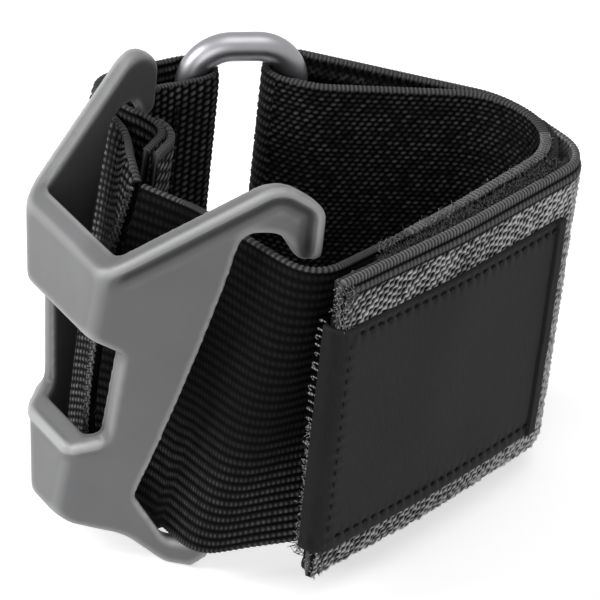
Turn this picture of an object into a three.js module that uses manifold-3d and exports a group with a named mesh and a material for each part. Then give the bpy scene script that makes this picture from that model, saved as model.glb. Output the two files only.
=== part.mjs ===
// Tool tether wrist strap: elastic webbing cinched through a steel ring, closed by a hook-and-loop
// flap, with a moulded tool clip hooked over the webbing's edges. Millimetres, +Z up.
import * as THREE from 'three';
import { mergeVertices } from 'three/addons/utils/BufferGeometryUtils.js';
import Module from 'manifold-3d';

const wasm = await Module();
wasm.setup();

// Webbing and tapes
const WEB_WIDTH = 50;
const WEB_THICK = 1.7;
const BAND_LIFT = 5;
const FLAP_DROP = 1.1;
const FLAP_TILT = 0.03;
const LOOP_TAPE_THICK = 0.7;
const HOOK_TAPE_THICK = 0.7;
const TAPE_INSET = 0.6;
const SEWN_GAP = 0.2;
const PILE_GAP = 0.25;
const SPLIT_GAP = 0.5;

// Route of the webbing round the wrist, upper edge, seen from above
const CREST = [-2.8, -28.8];
const RIGHT_BREAK = [6, -25];
const NEAR_CORNER = [28.7, -19.8];
const FRONT_LOWER = [25.5, -8];
const FRONT_BOW = [21.8, 5.5];
const RIGHT_CORNER = [5.6, 52.4];
const RING_APPROACH = [-16.5, 9.4];
const BREAK_RADIUS = 18;
const NEAR_RADIUS = 4.8;
const FRONT_LOWER_RADIUS = 10;
const FRONT_BOW_RADIUS = 120;
const RIGHT_RADIUS = 11.6;
const APPROACH_RADIUS = 8;

// The lower edge leans forward into the clip
const CREST_LEAN = -3.7;
const CREST_BOW = -2.4;
const BREAK_LEAN = [-1, -4.3];
const NEAR_LEAN = [-9.2, -8.4];
const FRONT_LEAN = [-1.6, -0.5];
const NEAR_LEAN_RADIUS = -1.3;

// Cinch tail, outside the band
const TAIL_CORNER = [-5.2, 35];
const TAIL_CORNER_RADIUS = 14;
const TAIL_SLOPE = 0.1;
const FLAP_CORNER_RADIUS = 7;
const FLAP_REACH = 24.9;

// Ring loop webbing on the left
const LEFT_BREAK = [-11.5, -25.6];
const LEFT_SLOT = [-19, -23];
const LEFT_SLOT_SLOPE = -0.2;
const LEFT_BREAK_LEAN = [2.5, -3.9];
const LEFT_CORNER_LEAN = [9.2, -7.3];
const LEFT_CORNER_RADIUS = 5.6;
const RETURN_CORNER = [-26.2, -21.6];
const RETURN_LEAN = [4.6, -2.2];
const RETURN_RADIUS = 2.6;
const RETURN_SLOT = [-17.6, -20.3];
const RETURN_SLOT_LEAN = [0.4, -3];
const RETURN_SLOT_RADIUS = 2;
const RETURN_BOW = [-14.8, -16.9];
const RETURN_BOW_LEAN = [0.6, -2];
const RETURN_BOW_RADIUS = 2;
const RETURN_END = [-10.4, -23.4];
const RETURN_END_LEAN = [0.4, -3.6];
const FACING_THICK = 0.8;
const FACING_LENGTH = 9;
const FACING_HEIGHT = 34;

// Adjuster ring
const WIRE_DIAMETER = 4;
const RING_HEIGHT = 60.2;
const RING_CORNER = 5;
const LEFT_LEG = [-28.6, -5];
const RIGHT_LEG = [-23, 9.7];
const LEFT_LEG_CLEAR = 0.4;
const LEFT_LEG_PLAY = 0.5;
const LOOP_STRAIGHT = 4;
const LOOP_STRAIGHT_RADIUS = 10;
const RIGHT_LEG_PLAY = 1.25;
const TURN_HEADING = [-0.8, -0.6];

// Label patch and threads
const LABEL_LENGTH = 50;
const LABEL_HEIGHT = 37.5;
const LABEL_THICK = 0.9;
const LABEL_RISE = 5;
const LABEL_WRAP = 3.2;
const LABEL_WRAP_RADIUS = 0.9;
const THREAD_WIDTH = 0.6;
const THREAD_HEIGHT = 0.35;
const THREAD_GAP = 0.12;
const LABEL_STITCH_INSET = 2.4;
const TAPE_STITCH_INSET = 4;
const SEAM_WIDTH = 1.5;
const SEAM_DEPTH = 1.1;

// Tool clip
const CLIP_FRONT_Y = -43;
const CLIP_TOP_HALF = 11.2;
const CLIP_TOP_FLARE = 0.46;
const CLIP_FOOT_HALF = 3.6;
const CLIP_FOOT_FLARE = 0.835;
const CLIP_FRONT_TOP = 50.8;
const CLIP_FRONT_FOOT = 6;
const CLIP_WALL = 2.5;
const CLIP_FRONT_WALL = 3.1;
const CLIP_CORNER = 2.6;
const CLIP_INNER_CORNER = 1.2;
const HOOK_RISE = 11;
const HOOK_TOP = BAND_LIFT + WEB_WIDTH + HOOK_RISE;
const HOOK_BAR = 8.2;
const HOOK_FALL = 3.9;
const HOOK_PEAK_Y = -21.2;
const HOOK_THROAT = -20.6;
const HOOK_TIP_FRONT = -18;
const HOOK_TIP_BACK = -15.4;
const HOOK_TIP_DEPTH = 1.6;
const FREE_EDGE_TOP = -25.5;
const FREE_EDGE_FOOT = -34.2;
const NOTCH_HEIGHT = 11.4;
const FOOT_TIP_FRONT = -26.8;
const FOOT_TIP_BACK = -25.2;
const FOOT_TIP_DEPTH = 3.5;
const FOOT_CLEAR = 0.7;
const FOOT_SLOT = 3.2;
const FOOT_FLAT = 2.8;
const WINDOW_TOP = 39.1;
const WINDOW_FOOT = 18.8;
const WINDOW_DEPTH = 4.6;
const WINDOW_SLOPE = 2.4;
const CHIN_DEPTH = 2.2;
const CHIN_DROP = 1.7;
const BELLY_DEPTH = 8.4;
const BELLY_DROP = 2.2;
const HEEL_RUN = 1.8;
const HEEL_RISE = 2.4;
const CHIN_ROUND = 2.5;
const BELLY_ROUND = 4;
const EDGE_ROUND = 1.2;
const SMALL_ROUND = 0.9;
const SLOT_ROUND = 1.5;
const ARCH_ROUND = 2.5;
const HOOK_TIP_ROUND = 1.7;
const FOOT_TIP_ROUND = 0.7;
const HOOK_BACK_ROUND = 3.6;
const HOOK_CROWN_ROUND = 4.5;
const WINDOW_LIP_ROUND = 0.5;

// Fineness of the round stretches
const ARC_STEPS = 7;
const ROUND_SHARE = 0.99;
const STRAIGHT_REACH = 0.6;
const SHORTEST_STEP = 0.05;
const WELD = 1e-4;
const TURN_FULLNESS = 0.99;
const THREAD_CROWN = 0.6;
const WIRE_SIDES = 12;
const FACING_STEPS = 12;
const ROW_STEPS = 10;
const CLIP_LEVELS = 22;
const CLIP_DEPTHS = 6;
const CUT_MARGIN = 2;

// Small plan-vector helpers
const add = (a, b) => [a[0] + b[0], a[1] + b[1]];
const sub = (a, b) => [a[0] - b[0], a[1] - b[1]];
const scale = (a, k) => [a[0] * k, a[1] * k];
const length = (a) => Math.hypot(a[0], a[1]);
const unit = (a) => scale(a, 1 / length(a));
const rightOf = (a) => [a[1], -a[0]];
const mix = (a, b, k) => a + (b - a) * k;
const mixPoint = (a, b, k) => [mix(a[0], b[0], k), mix(a[1], b[1], k)];
const evenly = (from, to, steps) => Array.from({ length: steps + 1 }, (none, i) => mix(from, to, i / steps));

function crossing(pointA, headingA, pointB, headingB) {
  const gap = sub(pointB, pointA);
  const det = headingA[0] * headingB[1] - headingA[1] * headingB[0];
  const k = (gap[0] * headingB[1] - gap[1] * headingB[0]) / det;
  return add(pointA, scale(headingA, k));
}

// A polyline with each inner corner rounded: corners are [point, radius]. Every rounded corner gives
// the same number of points, so that routes at different heights can be lofted together.
function roundedRoute(corners, closed = false) {
  const points = [];
  const count = corners.length;
  const isEnd = (i) => !closed && (i === 0 || i === count - 1);
  const sides = corners.map(([corner], i) => sub(corners[(i + 1) % count][0], corner));
  const turns = corners.map((_, i) => {
    const before = unit(sides[(i + count - 1) % count]);
    const after = unit(sides[i]);
    const cross = before[0] * after[1] - before[1] * after[0];
    return Math.atan2(cross, before[0] * after[0] + before[1] * after[1]);
  });
  const reaches = corners.map(([, radius], i) => (isEnd(i) ? 0 : radius * Math.tan(Math.abs(turns[i]) / 2)));
  const room = sides.map((side, i) => Math.hypot(...side) / (reaches[i] + reaches[(i + 1) % count]));
  corners.forEach(([corner, wanted], i) => {
    if (isEnd(i)) {
      points.push(corner);
      return;
    }
    const before = unit(sides[(i + count - 1) % count]);
    const after = unit(sides[i]);
    const turn = turns[i];
    const fit = Math.min(1, ROUND_SHARE * room[i], ROUND_SHARE * room[(i + count - 1) % count]);
    const radius = fit * wanted;
    const reach = fit * reaches[i];
    if (reach < STRAIGHT_REACH) {
      evenly(-STRAIGHT_REACH, STRAIGHT_REACH, ARC_STEPS).forEach((k) => {
        points.push(add(corner, scale(k < 0 ? before : after, k)));
      });
      return;
    }
    const start = sub(corner, scale(before, reach));
    const inward = scale(rightOf(before), turn > 0 ? -1 : 1);
    const centre = add(start, scale(inward, radius));
    const arm = sub(start, centre);
    evenly(0, turn, ARC_STEPS).forEach((angle) => {
      const turned = [
        arm[0] * Math.cos(angle) - arm[1] * Math.sin(angle),
        arm[0] * Math.sin(angle) + arm[1] * Math.cos(angle),
      ];
      points.push(add(centre, turned));
    });
  });
  return points;
}

function headings(points) {
  return points.map((point, i) => {
    const before = points[Math.max(i - 1, 0)];
    const after = points[Math.min(i + 1, points.length - 1)];
    return unit(sub(after, before));
  });
}

function offsetRoute(points, distance) {
  const along = headings(points);
  return points.map((point, i) => add(point, scale(rightOf(along[i]), distance)));
}

function runs(points) {
  const total = [0];
  for (let i = 1; i < points.length; i += 1) total.push(total[i - 1] + length(sub(points[i], points[i - 1])));
  return total;
}

function pointAt(points, total, run) {
  let i = 1;
  while (i < points.length - 1 && total[i] < run) i += 1;
  const k = (run - total[i - 1]) / (total[i] - total[i - 1]);
  return mixPoint(points[i - 1], points[i], k);
}

// The stretch of a route between two runs along it
function stretch(points, from, to) {
  const total = runs(points);
  const inner = points.filter((point, i) => total[i] > from + SHORTEST_STEP && total[i] < to - SHORTEST_STEP);
  return [pointAt(points, total, from), ...inner, pointAt(points, total, to)];
}

// Rings of equal point counts joined into one closed body
function loft(rings, looped = false) {
  const size = rings[0].length;
  const positions = rings.flat().flat();
  const index = [];
  const spans = looped ? rings.length : rings.length - 1;
  for (let i = 0; i < spans; i += 1) {
    const here = i * size;
    const next = ((i + 1) % rings.length) * size;
    for (let j = 0; j < size; j += 1) {
      const k = (j + 1) % size;
      index.push(here + j, next + j, here + k, here + k, next + j, next + k);
    }
  }
  if (!looped) {
    const last = (rings.length - 1) * size;
    capFaces(rings[0]).forEach(([a, b, c]) => index.push(a, b, c));
    capFaces(rings[rings.length - 1]).forEach(([a, b, c]) => index.push(last + a, last + c, last + b));
  }
  const geometry = new THREE.BufferGeometry();
  geometry.setAttribute('position', new THREE.Float32BufferAttribute(positions, 3));
  geometry.setIndex(index);
  return facingOut(geometry);
}

function capFaces(ring) {
  const faces = [];
  const half = ring.length / 2;
  for (let i = 0; i < half - 1; i += 1) {
    const j = ring.length - 1 - i;
    faces.push([i, i + 1, j], [i + 1, j - 1, j]);
  }
  return faces;
}

function volume(geometry) {
  const at = geometry.getAttribute('position');
  const order = geometry.getIndex().array;
  const corner = [new THREE.Vector3(), new THREE.Vector3(), new THREE.Vector3()];
  let sum = 0;
  for (let i = 0; i < order.length; i += 3) {
    corner.forEach((vector, j) => vector.fromBufferAttribute(at, order[i + j]));
    sum += corner[0].dot(corner[1].cross(corner[2]));
  }
  return sum / 6;
}

function facingOut(geometry) {
  if (volume(geometry) < 0) {
    const order = geometry.getIndex().array;
    for (let i = 0; i < order.length; i += 3) [order[i], order[i + 1]] = [order[i + 1], order[i]];
  }
  return geometry;
}

function toSolid(geometry) {
  const bare = geometry.clone();
  bare.deleteAttribute('normal');
  bare.deleteAttribute('uv');
  const merged = mergeVertices(bare, WELD);
  return new wasm.Manifold(new wasm.Mesh({
    numProp: 3,
    vertProperties: new Float32Array(merged.getAttribute('position').array),
    triVerts: new Uint32Array(merged.getIndex().array),
  }));
}

function fromSolid(solid) {
  const mesh = solid.getMesh();
  const geometry = new THREE.BufferGeometry();
  geometry.setAttribute('position', new THREE.BufferAttribute(mesh.vertProperties, 3));
  geometry.setIndex(new THREE.BufferAttribute(mesh.triVerts, 1));
  return geometry;
}

// A flat strap: mid-lines at rising heights, with equal point counts, given a thickness
function strap(lines, heights, thickness, lifts = lines[0].map(() => 0)) {
  const outer = lines.map((line) => offsetRoute(line, thickness / 2));
  const inner = lines.map((line) => offsetRoute(line, -thickness / 2));
  const rings = lines[0].map((point, i) => [
    ...outer.map((line, level) => [...line[i], heights[level] + lifts[i]]),
    ...inner.map((line, level) => [...line[i], heights[level] + lifts[i]]).reverse(),
  ]);
  return loft(rings);
}

// A thread or seam lying along a chain of points, with a flat side on its seat
function threadAlong(points, seats, width, height, looped = false) {
  const rings = points.map((point, i) => {
    const before = points[looped ? (i + points.length - 1) % points.length : Math.max(i - 1, 0)];
    const after = points[looped ? (i + 1) % points.length : Math.min(i + 1, points.length - 1)];
    const along = new THREE.Vector3().subVectors(after, before).normalize();
    const up = seats[i].clone().addScaledVector(along, -seats[i].dot(along)).normalize();
    const side = new THREE.Vector3().crossVectors(along, up).multiplyScalar(width / 2);
    const corner = (s, u) => point.clone().addScaledVector(side, s).addScaledVector(up, u).toArray();
    return [corner(-1, 0), corner(1, 0), corner(THREAD_CROWN, height), corner(-THREAD_CROWN, height)];
  });
  return loft(rings, looped);
}

const bandHeights = [BAND_LIFT, BAND_LIFT + WEB_WIDTH / 2, BAND_LIFT + WEB_WIDTH];
const flapFoot = BAND_LIFT - FLAP_DROP;
const flapHeights = [flapFoot, flapFoot + WEB_WIDTH];
const LEVELS = [0, 0.5, 1];

// How far a corner at a level, 0 at the lower edge and 1 at the upper, leans and bows
const leaned = (point, lean, level) => add(point, scale(lean, 1 - level));
const crestAt = (level) => {
  const bow = CREST_BOW * 4 * level * (1 - level);
  return add(CREST, [0, CREST_LEAN * (1 - level) + bow]);
};

// The main webbing: crest, near bend, right bend, ring turn, tail and flap
const stack = WEB_THICK + 2 * SEWN_GAP + LOOP_TAPE_THICK + PILE_GAP + HOOK_TAPE_THICK;
const ringTurn = WIRE_DIAMETER / 2 + RIGHT_LEG_PLAY + WEB_THICK / 2;
const crestHalf = WEB_THICK / 2;

function turnCorners() {
  const ahead = scale(unit(TURN_HEADING), ringTurn);
  const side = rightOf(ahead);
  return [sub(add(RIGHT_LEG, ahead), side), add(add(RIGHT_LEG, ahead), side)];
}

function flapCorners() {
  const upper = unit(sub(FRONT_BOW, RIGHT_CORNER));
  const lower = unit(sub(NEAR_CORNER, FRONT_BOW));
  const upperOut = scale(rightOf(upper), -stack);
  const lowerOut = scale(rightOf(lower), -stack);
  const upperPoint = add(FRONT_BOW, upperOut);
  const lowerPoint = add(FRONT_BOW, lowerOut);
  const bend = crossing(upperPoint, upper, lowerPoint, lower);
  const tailHeading = unit([1, TAIL_SLOPE]);
  const corner = crossing(TAIL_CORNER, tailHeading, upperPoint, upper);
  return { corner, bend, lower };
}

const flap = flapCorners();

function webbingRoute(level) {
  const start = add(crestAt(level), [crestHalf, 0]);
  const [turnIn, turnOut] = turnCorners();
  const nearRadius = NEAR_RADIUS + NEAR_LEAN_RADIUS * (1 - level);
  const flapEnd = add(flap.bend, scale(flap.lower, FLAP_REACH));
  return roundedRoute([
    [start, 0],
    [leaned(RIGHT_BREAK, BREAK_LEAN, level), BREAK_RADIUS],
    [leaned(NEAR_CORNER, NEAR_LEAN, level), nearRadius],
    [leaned(FRONT_LOWER, FRONT_LEAN, level), FRONT_LOWER_RADIUS],
    [FRONT_BOW, FRONT_BOW_RADIUS],
    [RIGHT_CORNER, RIGHT_RADIUS],
    [RING_APPROACH, APPROACH_RADIUS],
    [turnIn, ringTurn * TURN_FULLNESS],
    [turnOut, ringTurn * TURN_FULLNESS],
    [TAIL_CORNER, TAIL_CORNER_RADIUS],
    [flap.corner, FLAP_CORNER_RADIUS],
    [flap.bend, FRONT_BOW_RADIUS + stack],
    [flapEnd, 0],
  ]);
}

// Index of the first point of each rounded corner in a webbing route
const firstOf = (corner) => 1 + (corner - 1) * (ARC_STEPS + 1);
const FRONT_LOWER_AT = firstOf(3);
const RIGHT_AT = firstOf(5);
const FLAP_CORNER_AT = firstOf(10);
const hingeStep = FLAP_CORNER_AT + Math.round(ARC_STEPS / 2);

const webbing = LEVELS.map(webbingRoute);

// The band ends half a split gap before the line that the flap peels about
function upToHinge(line) {
  const before = line[hingeStep - 1];
  const at = line[hingeStep];
  const back = SPLIT_GAP / 2 / length(sub(at, before));
  return [...line.slice(0, hingeStep), mixPoint(at, before, back)];
}

function mainBand() {
  const lines = webbing.map(upToHinge);
  const turnEnd = firstOf(9) - 1;
  const drops = lines[0].map((point, i) => (i > turnEnd ? -FLAP_DROP : 0));
  return strap(lines, bandHeights, WEB_THICK, drops);
}

// The flap: webbing, hook tape inside it and label outside it, all in the upper route's line
const flapLine = webbing[2].slice(hingeStep);
const flapTotal = runs(flapLine).at(-1);

function flapLayer(offset, from, to, low, high, thickness) {
  const middle = stretch(flapLine, from, to);
  const line = offsetRoute(middle, offset);
  const lifts = runs(middle).map((run) => FLAP_TILT * (from + run));
  return strap([line, line], [low, high], thickness, lifts);
}

const hookOffset = WEB_THICK / 2 + SEWN_GAP + HOOK_TAPE_THICK / 2;
const labelOffset = -(WEB_THICK / 2 + SEWN_GAP + LABEL_THICK / 2);
const labelFrom = flapTotal - LABEL_LENGTH;
const labelFoot = flapFoot + LABEL_RISE;

const flapWeb = () => flapLayer(0, SPLIT_GAP / 2, flapTotal, ...flapHeights, WEB_THICK);
const hookTape = () => flapLayer(
  hookOffset,
  SPLIT_GAP,
  flapTotal - TAPE_INSET,
  flapFoot + TAPE_INSET,
  flapFoot + WEB_WIDTH - TAPE_INSET,
  HOOK_TAPE_THICK,
);

// The label turns in over the flap's free end
function labelPatch() {
  const middle = stretch(flapLine, labelFrom, flapTotal);
  const face = offsetRoute(middle, labelOffset);
  const ahead = headings(face).at(-1);
  const corner = add(face.at(-1), scale(ahead, SEWN_GAP + LABEL_THICK / 2));
  const end = add(corner, scale(rightOf(ahead), LABEL_WRAP));
  const wrap = roundedRoute([[face.at(-2), 0], [corner, LABEL_WRAP_RADIUS], [end, 0]]);
  const line = [...face.slice(0, -1), ...wrap.slice(1)];
  const lifts = runs(line).map((run) => FLAP_TILT * Math.min(labelFrom + run, flapTotal));
  return strap([line, line], [labelFoot, labelFoot + LABEL_HEIGHT], LABEL_THICK, lifts);
}

function labelThread() {
  const seat = labelOffset - LABEL_THICK / 2 - THREAD_GAP;
  const inset = LABEL_STITCH_INSET;
  const middle = stretch(flapLine, labelFrom + inset, flapTotal - inset);
  const line = offsetRoute(middle, seat);
  const lifts = runs(middle).map((run) => FLAP_TILT * (labelFrom + inset + run));
  const outward = headings(line).map((heading) => scale(rightOf(heading), -1));
  const low = labelFoot + inset;
  const high = labelFoot + LABEL_HEIGHT - inset;
  const points = [];
  const seats = [];
  const lay = (i, z) => {
    points.push(new THREE.Vector3(...line[i], z + lifts[i]));
    seats.push(new THREE.Vector3(...outward[i], 0));
  };
  for (let i = 0; i < line.length; i += 1) lay(i, low);
  lay(line.length - 1, (low + high) / 2);
  for (let i = line.length - 1; i >= 0; i -= 1) lay(i, high);
  lay(0, (low + high) / 2);
  return threadAlong(points, seats, THREAD_WIDTH, THREAD_HEIGHT, true);
}

// Loop tape on the main band's outer face, from behind the flap's free end to the right bend
function bandStretch(fromIndex, toIndex, offset) {
  return webbing.map((line) => offsetRoute(line, offset).slice(fromIndex, toIndex));
}

const loopEndAt = RIGHT_AT + Math.floor(ARC_STEPS / 2);
const loopHeights = [
  BAND_LIFT + TAPE_INSET,
  BAND_LIFT + WEB_WIDTH / 2,
  BAND_LIFT + WEB_WIDTH - TAPE_INSET,
];

function loopTape() {
  const offset = WEB_THICK / 2 + SEWN_GAP + LOOP_TAPE_THICK / 2;
  return strap(bandStretch(FRONT_LOWER_AT, loopEndAt, offset), loopHeights, LOOP_TAPE_THICK);
}

// The loop tape's stitching shows as a row on the band's wrist side
function loopTapeThread(level) {
  const k = level === 1 ? 1 - TAPE_STITCH_INSET / WEB_WIDTH : TAPE_STITCH_INSET / WEB_WIDTH;
  const seat = -(WEB_THICK / 2 + THREAD_GAP);
  const [lower, , upper] = bandStretch(FRONT_LOWER_AT, loopEndAt, seat);
  const line = lower.map((point, i) => mixPoint(point, upper[i], k));
  const inward = headings(line).map((heading) => scale(rightOf(heading), -1));
  const z = BAND_LIFT + WEB_WIDTH * k;
  const points = line.map((point) => new THREE.Vector3(...point, z));
  const seats = inward.map((side) => new THREE.Vector3(...side, 0));
  return threadAlong(points, seats, THREAD_WIDTH, THREAD_HEIGHT);
}

// The ring loop webbing: crest, left bend, round the ring's left leg, back in and a loose end
const leftTurn = WIRE_DIAMETER / 2 + LEFT_LEG_CLEAR + WEB_THICK / 2;
const leftOutX = LEFT_LEG[0] - leftTurn;
const leftInX = LEFT_LEG[0] + leftTurn;
const leftTopY = LEFT_LEG[1] + leftTurn + LEFT_LEG_PLAY;
const straightY = LEFT_LEG[1] - LOOP_STRAIGHT;

function ringLoopRoute(level) {
  const start = sub(crestAt(level), [crestHalf, 0]);
  const slotY = LEFT_SLOT[1] + LEFT_SLOT_SLOPE * (leftOutX - LEFT_SLOT[0]);
  return roundedRoute([
    [start, 0],
    [leaned(LEFT_BREAK, LEFT_BREAK_LEAN, level), BREAK_RADIUS],
    [leaned([leftOutX, slotY], LEFT_CORNER_LEAN, level), LEFT_CORNER_RADIUS],
    [[leftOutX, straightY], LOOP_STRAIGHT_RADIUS],
    [[leftOutX, leftTopY], leftTurn * TURN_FULLNESS],
    [[leftInX, leftTopY], leftTurn * TURN_FULLNESS],
    [[leftInX, straightY], LOOP_STRAIGHT_RADIUS],
    [leaned(RETURN_CORNER, RETURN_LEAN, level), RETURN_RADIUS],
    [leaned(RETURN_SLOT, RETURN_SLOT_LEAN, level), RETURN_SLOT_RADIUS],
    [leaned(RETURN_BOW, RETURN_BOW_LEAN, level), RETURN_BOW_RADIUS],
    [leaned(RETURN_END, RETURN_END_LEAN, level), 0],
  ]);
}

const ringLoop = LEVELS.map(ringLoopRoute);
const ringLoopBand = () => strap(ringLoop, bandHeights, WEB_THICK);

function betweenLevels(low, middle, high, level) {
  return level < 0.5 ? mixPoint(low, middle, level * 2) : mixPoint(middle, high, level * 2 - 1);
}

function levelPoint(lines, index, offset, level) {
  const [low, middle, high] = lines.map((line) => offsetRoute(line, offset)[index]);
  return betweenLevels(low, middle, high, level);
}

// Grey facing on the loose end's wrist side
function facingTape() {
  const offset = -(WEB_THICK / 2 + SEWN_GAP + FACING_THICK / 2);
  const [lower, middle, upper] = ringLoop.map((line) => {
    const total = runs(line);
    const end = total.at(-1);
    const places = evenly(end - FACING_LENGTH, end - TAPE_INSET, FACING_STEPS);
    return places.map((run) => pointAt(line, total, run));
  });
  const high = BAND_LIFT + WEB_WIDTH - TAPE_INSET;
  const low = high - FACING_HEIGHT;
  const level = (low - BAND_LIFT) / WEB_WIDTH;
  const foot = middle.map((point, i) => mixPoint(lower[i], point, Math.min(level * 2, 1)));
  return strap([foot, upper].map((line) => offsetRoute(line, offset)), [low, high], FACING_THICK);
}

// Stitch row across the ring loop, on its wrist side beside the ring
const RING_ROW_AT = firstOf(6) + ARC_STEPS;

function ringLoopThread() {
  const seat = -(WEB_THICK / 2 + THREAD_GAP);
  const inset = TAPE_STITCH_INSET / WEB_WIDTH;
  const levels = evenly(inset, 1 - inset, ROW_STEPS);
  const points = levels.map((level) => {
    const before = levelPoint(ringLoop, RING_ROW_AT - 1, seat, level);
    const after = levelPoint(ringLoop, RING_ROW_AT, seat, level);
    return new THREE.Vector3(...mixPoint(before, after, 0.5), BAND_LIFT + WEB_WIDTH * level);
  });
  const seats = levels.map(() => new THREE.Vector3(1, 0, 0));
  return threadAlong(points, seats, THREAD_WIDTH, THREAD_HEIGHT);
}

// Overlocked edge along the crest, on the side that faces the clip
function crestSeam() {
  const levels = evenly(0, 1, ROW_STEPS);
  const [low, middle, high] = LEVELS.map(crestAt);
  const points = levels.map((level) => {
    const side = betweenLevels(low, middle, high, level);
    const seat = add(side, [0, -(WEB_THICK / 2 + SEWN_GAP)]);
    return new THREE.Vector3(...seat, BAND_LIFT + WEB_WIDTH * level);
  });
  const seats = levels.map(() => new THREE.Vector3(0, -1, 0));
  return threadAlong(points, seats, SEAM_WIDTH, SEAM_DEPTH);
}

// A closed oblong of round wire, upright through both of its legs
function adjusterRing() {
  const radius = WIRE_DIAMETER / 2;
  const across = sub(RIGHT_LEG, LEFT_LEG);
  const heading = unit(across);
  const span = length(across);
  const outline = roundedRoute([
    [[0, radius], RING_CORNER],
    [[span, radius], RING_CORNER],
    [[span, RING_HEIGHT - radius], RING_CORNER],
    [[0, RING_HEIGHT - radius], RING_CORNER],
  ], true);
  const place = ([s, z]) => new THREE.Vector3(...add(LEFT_LEG, scale(heading, s)), z);
  const normal = new THREE.Vector3(...rightOf(heading), 0);
  const rings = outline.map((point, i) => {
    const before = place(outline[(i + outline.length - 1) % outline.length]);
    const after = place(outline[(i + 1) % outline.length]);
    const along = after.sub(before).normalize();
    const side = new THREE.Vector3().crossVectors(along, normal);
    return Array.from({ length: WIRE_SIDES }, (none, j) => {
      const angle = (2 * Math.PI * j) / WIRE_SIDES;
      return place(point)
        .addScaledVector(normal, radius * Math.cos(angle))
        .addScaledVector(side, radius * Math.sin(angle))
        .toArray();
    });
  });
  return loft(rings, true);
}

// The clip's outer half width: tapered towards the foot in front, flared towards the back
const taper = (z) => Math.min((z - CLIP_FRONT_FOOT) / (CLIP_FRONT_TOP - CLIP_FRONT_FOOT), 1);
const frontHalf = (z) => mix(CLIP_FOOT_HALF, CLIP_TOP_HALF, taper(z));
const flare = (z) => mix(CLIP_FOOT_FLARE, CLIP_TOP_FLARE, taper(z));

function clipSections(frontY, backY, wall, corner) {
  return evenly(-CUT_MARGIN, HOOK_TOP + CUT_MARGIN, CLIP_LEVELS).map((z) => {
    const slope = flare(z);
    const half = (y) => frontHalf(z) + (y - CLIP_FRONT_Y) * slope - wall * Math.hypot(1, slope);
    const wallDepths = evenly(backY, frontY + corner, CLIP_DEPTHS).slice(0, -1);
    const rightWall = wallDepths.map((y) => [half(y), y]);
    const front = roundedRoute([
      rightWall.at(-1),
      [half(frontY), frontY],
      [-half(frontY), frontY],
      [-rightWall.at(-1)[0], rightWall.at(-1)[1]],
    ].map((point) => [point, corner]));
    const leftWall = rightWall.map(([x, y]) => [-x, y]).reverse();
    const outline = [...rightWall.slice(0, -1), ...front, ...leftWall.slice(1)];
    return outline.map(([x, y]) => [x, y, z]);
  });
}

// The clip's side view: front, window, hooks and the slanted free edge, in depth and height
function clipProfile() {
  const bandTop = BAND_LIFT + WEB_WIDTH;
  const arch = HOOK_TOP - HOOK_BAR;
  const tipFoot = bandTop - HOOK_TIP_DEPTH;
  const slotFloor = BAND_LIFT - FOOT_CLEAR;
  const footTip = BAND_LIFT + FOOT_TIP_DEPTH;
  const windowBack = CLIP_FRONT_Y + WINDOW_DEPTH;
  const heel = FOOT_TIP_BACK - HEEL_RUN;
  return roundedRoute([
    [[CLIP_FRONT_Y, CLIP_FRONT_FOOT], EDGE_ROUND],
    [[CLIP_FRONT_Y + CHIN_DEPTH, CLIP_FRONT_FOOT - CHIN_DROP], CHIN_ROUND],
    [[CLIP_FRONT_Y + BELLY_DEPTH, CLIP_FRONT_FOOT - BELLY_DROP], BELLY_ROUND],
    [[heel - FOOT_FLAT, 0], EDGE_ROUND],
    [[heel, 0], EDGE_ROUND],
    [[FOOT_TIP_BACK, HEEL_RISE], EDGE_ROUND],
    [[FOOT_TIP_BACK, footTip], FOOT_TIP_ROUND],
    [[FOOT_TIP_FRONT, footTip], FOOT_TIP_ROUND],
    [[FOOT_TIP_FRONT, slotFloor], SMALL_ROUND],
    [[FOOT_TIP_FRONT - FOOT_SLOT, slotFloor], SLOT_ROUND],
    [[FREE_EDGE_FOOT, NOTCH_HEIGHT], SLOT_ROUND],
    [[FREE_EDGE_TOP, arch], ARCH_ROUND],
    [[HOOK_THROAT, arch], ARCH_ROUND],
    [[HOOK_TIP_FRONT, tipFoot], EDGE_ROUND],
    [[HOOK_TIP_BACK, tipFoot], HOOK_TIP_ROUND],
    [[HOOK_TIP_BACK, HOOK_TOP - HOOK_FALL], HOOK_BACK_ROUND],
    [[HOOK_PEAK_Y, HOOK_TOP], HOOK_CROWN_ROUND],
    [[CLIP_FRONT_Y, CLIP_FRONT_TOP], EDGE_ROUND],
    [[CLIP_FRONT_Y, WINDOW_TOP], WINDOW_LIP_ROUND],
    [[windowBack, WINDOW_TOP - WINDOW_SLOPE], SMALL_ROUND],
    [[windowBack, WINDOW_FOOT + WINDOW_SLOPE], SMALL_ROUND],
    [[CLIP_FRONT_Y, WINDOW_FOOT], WINDOW_LIP_ROUND],
  ], true);
}

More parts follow.
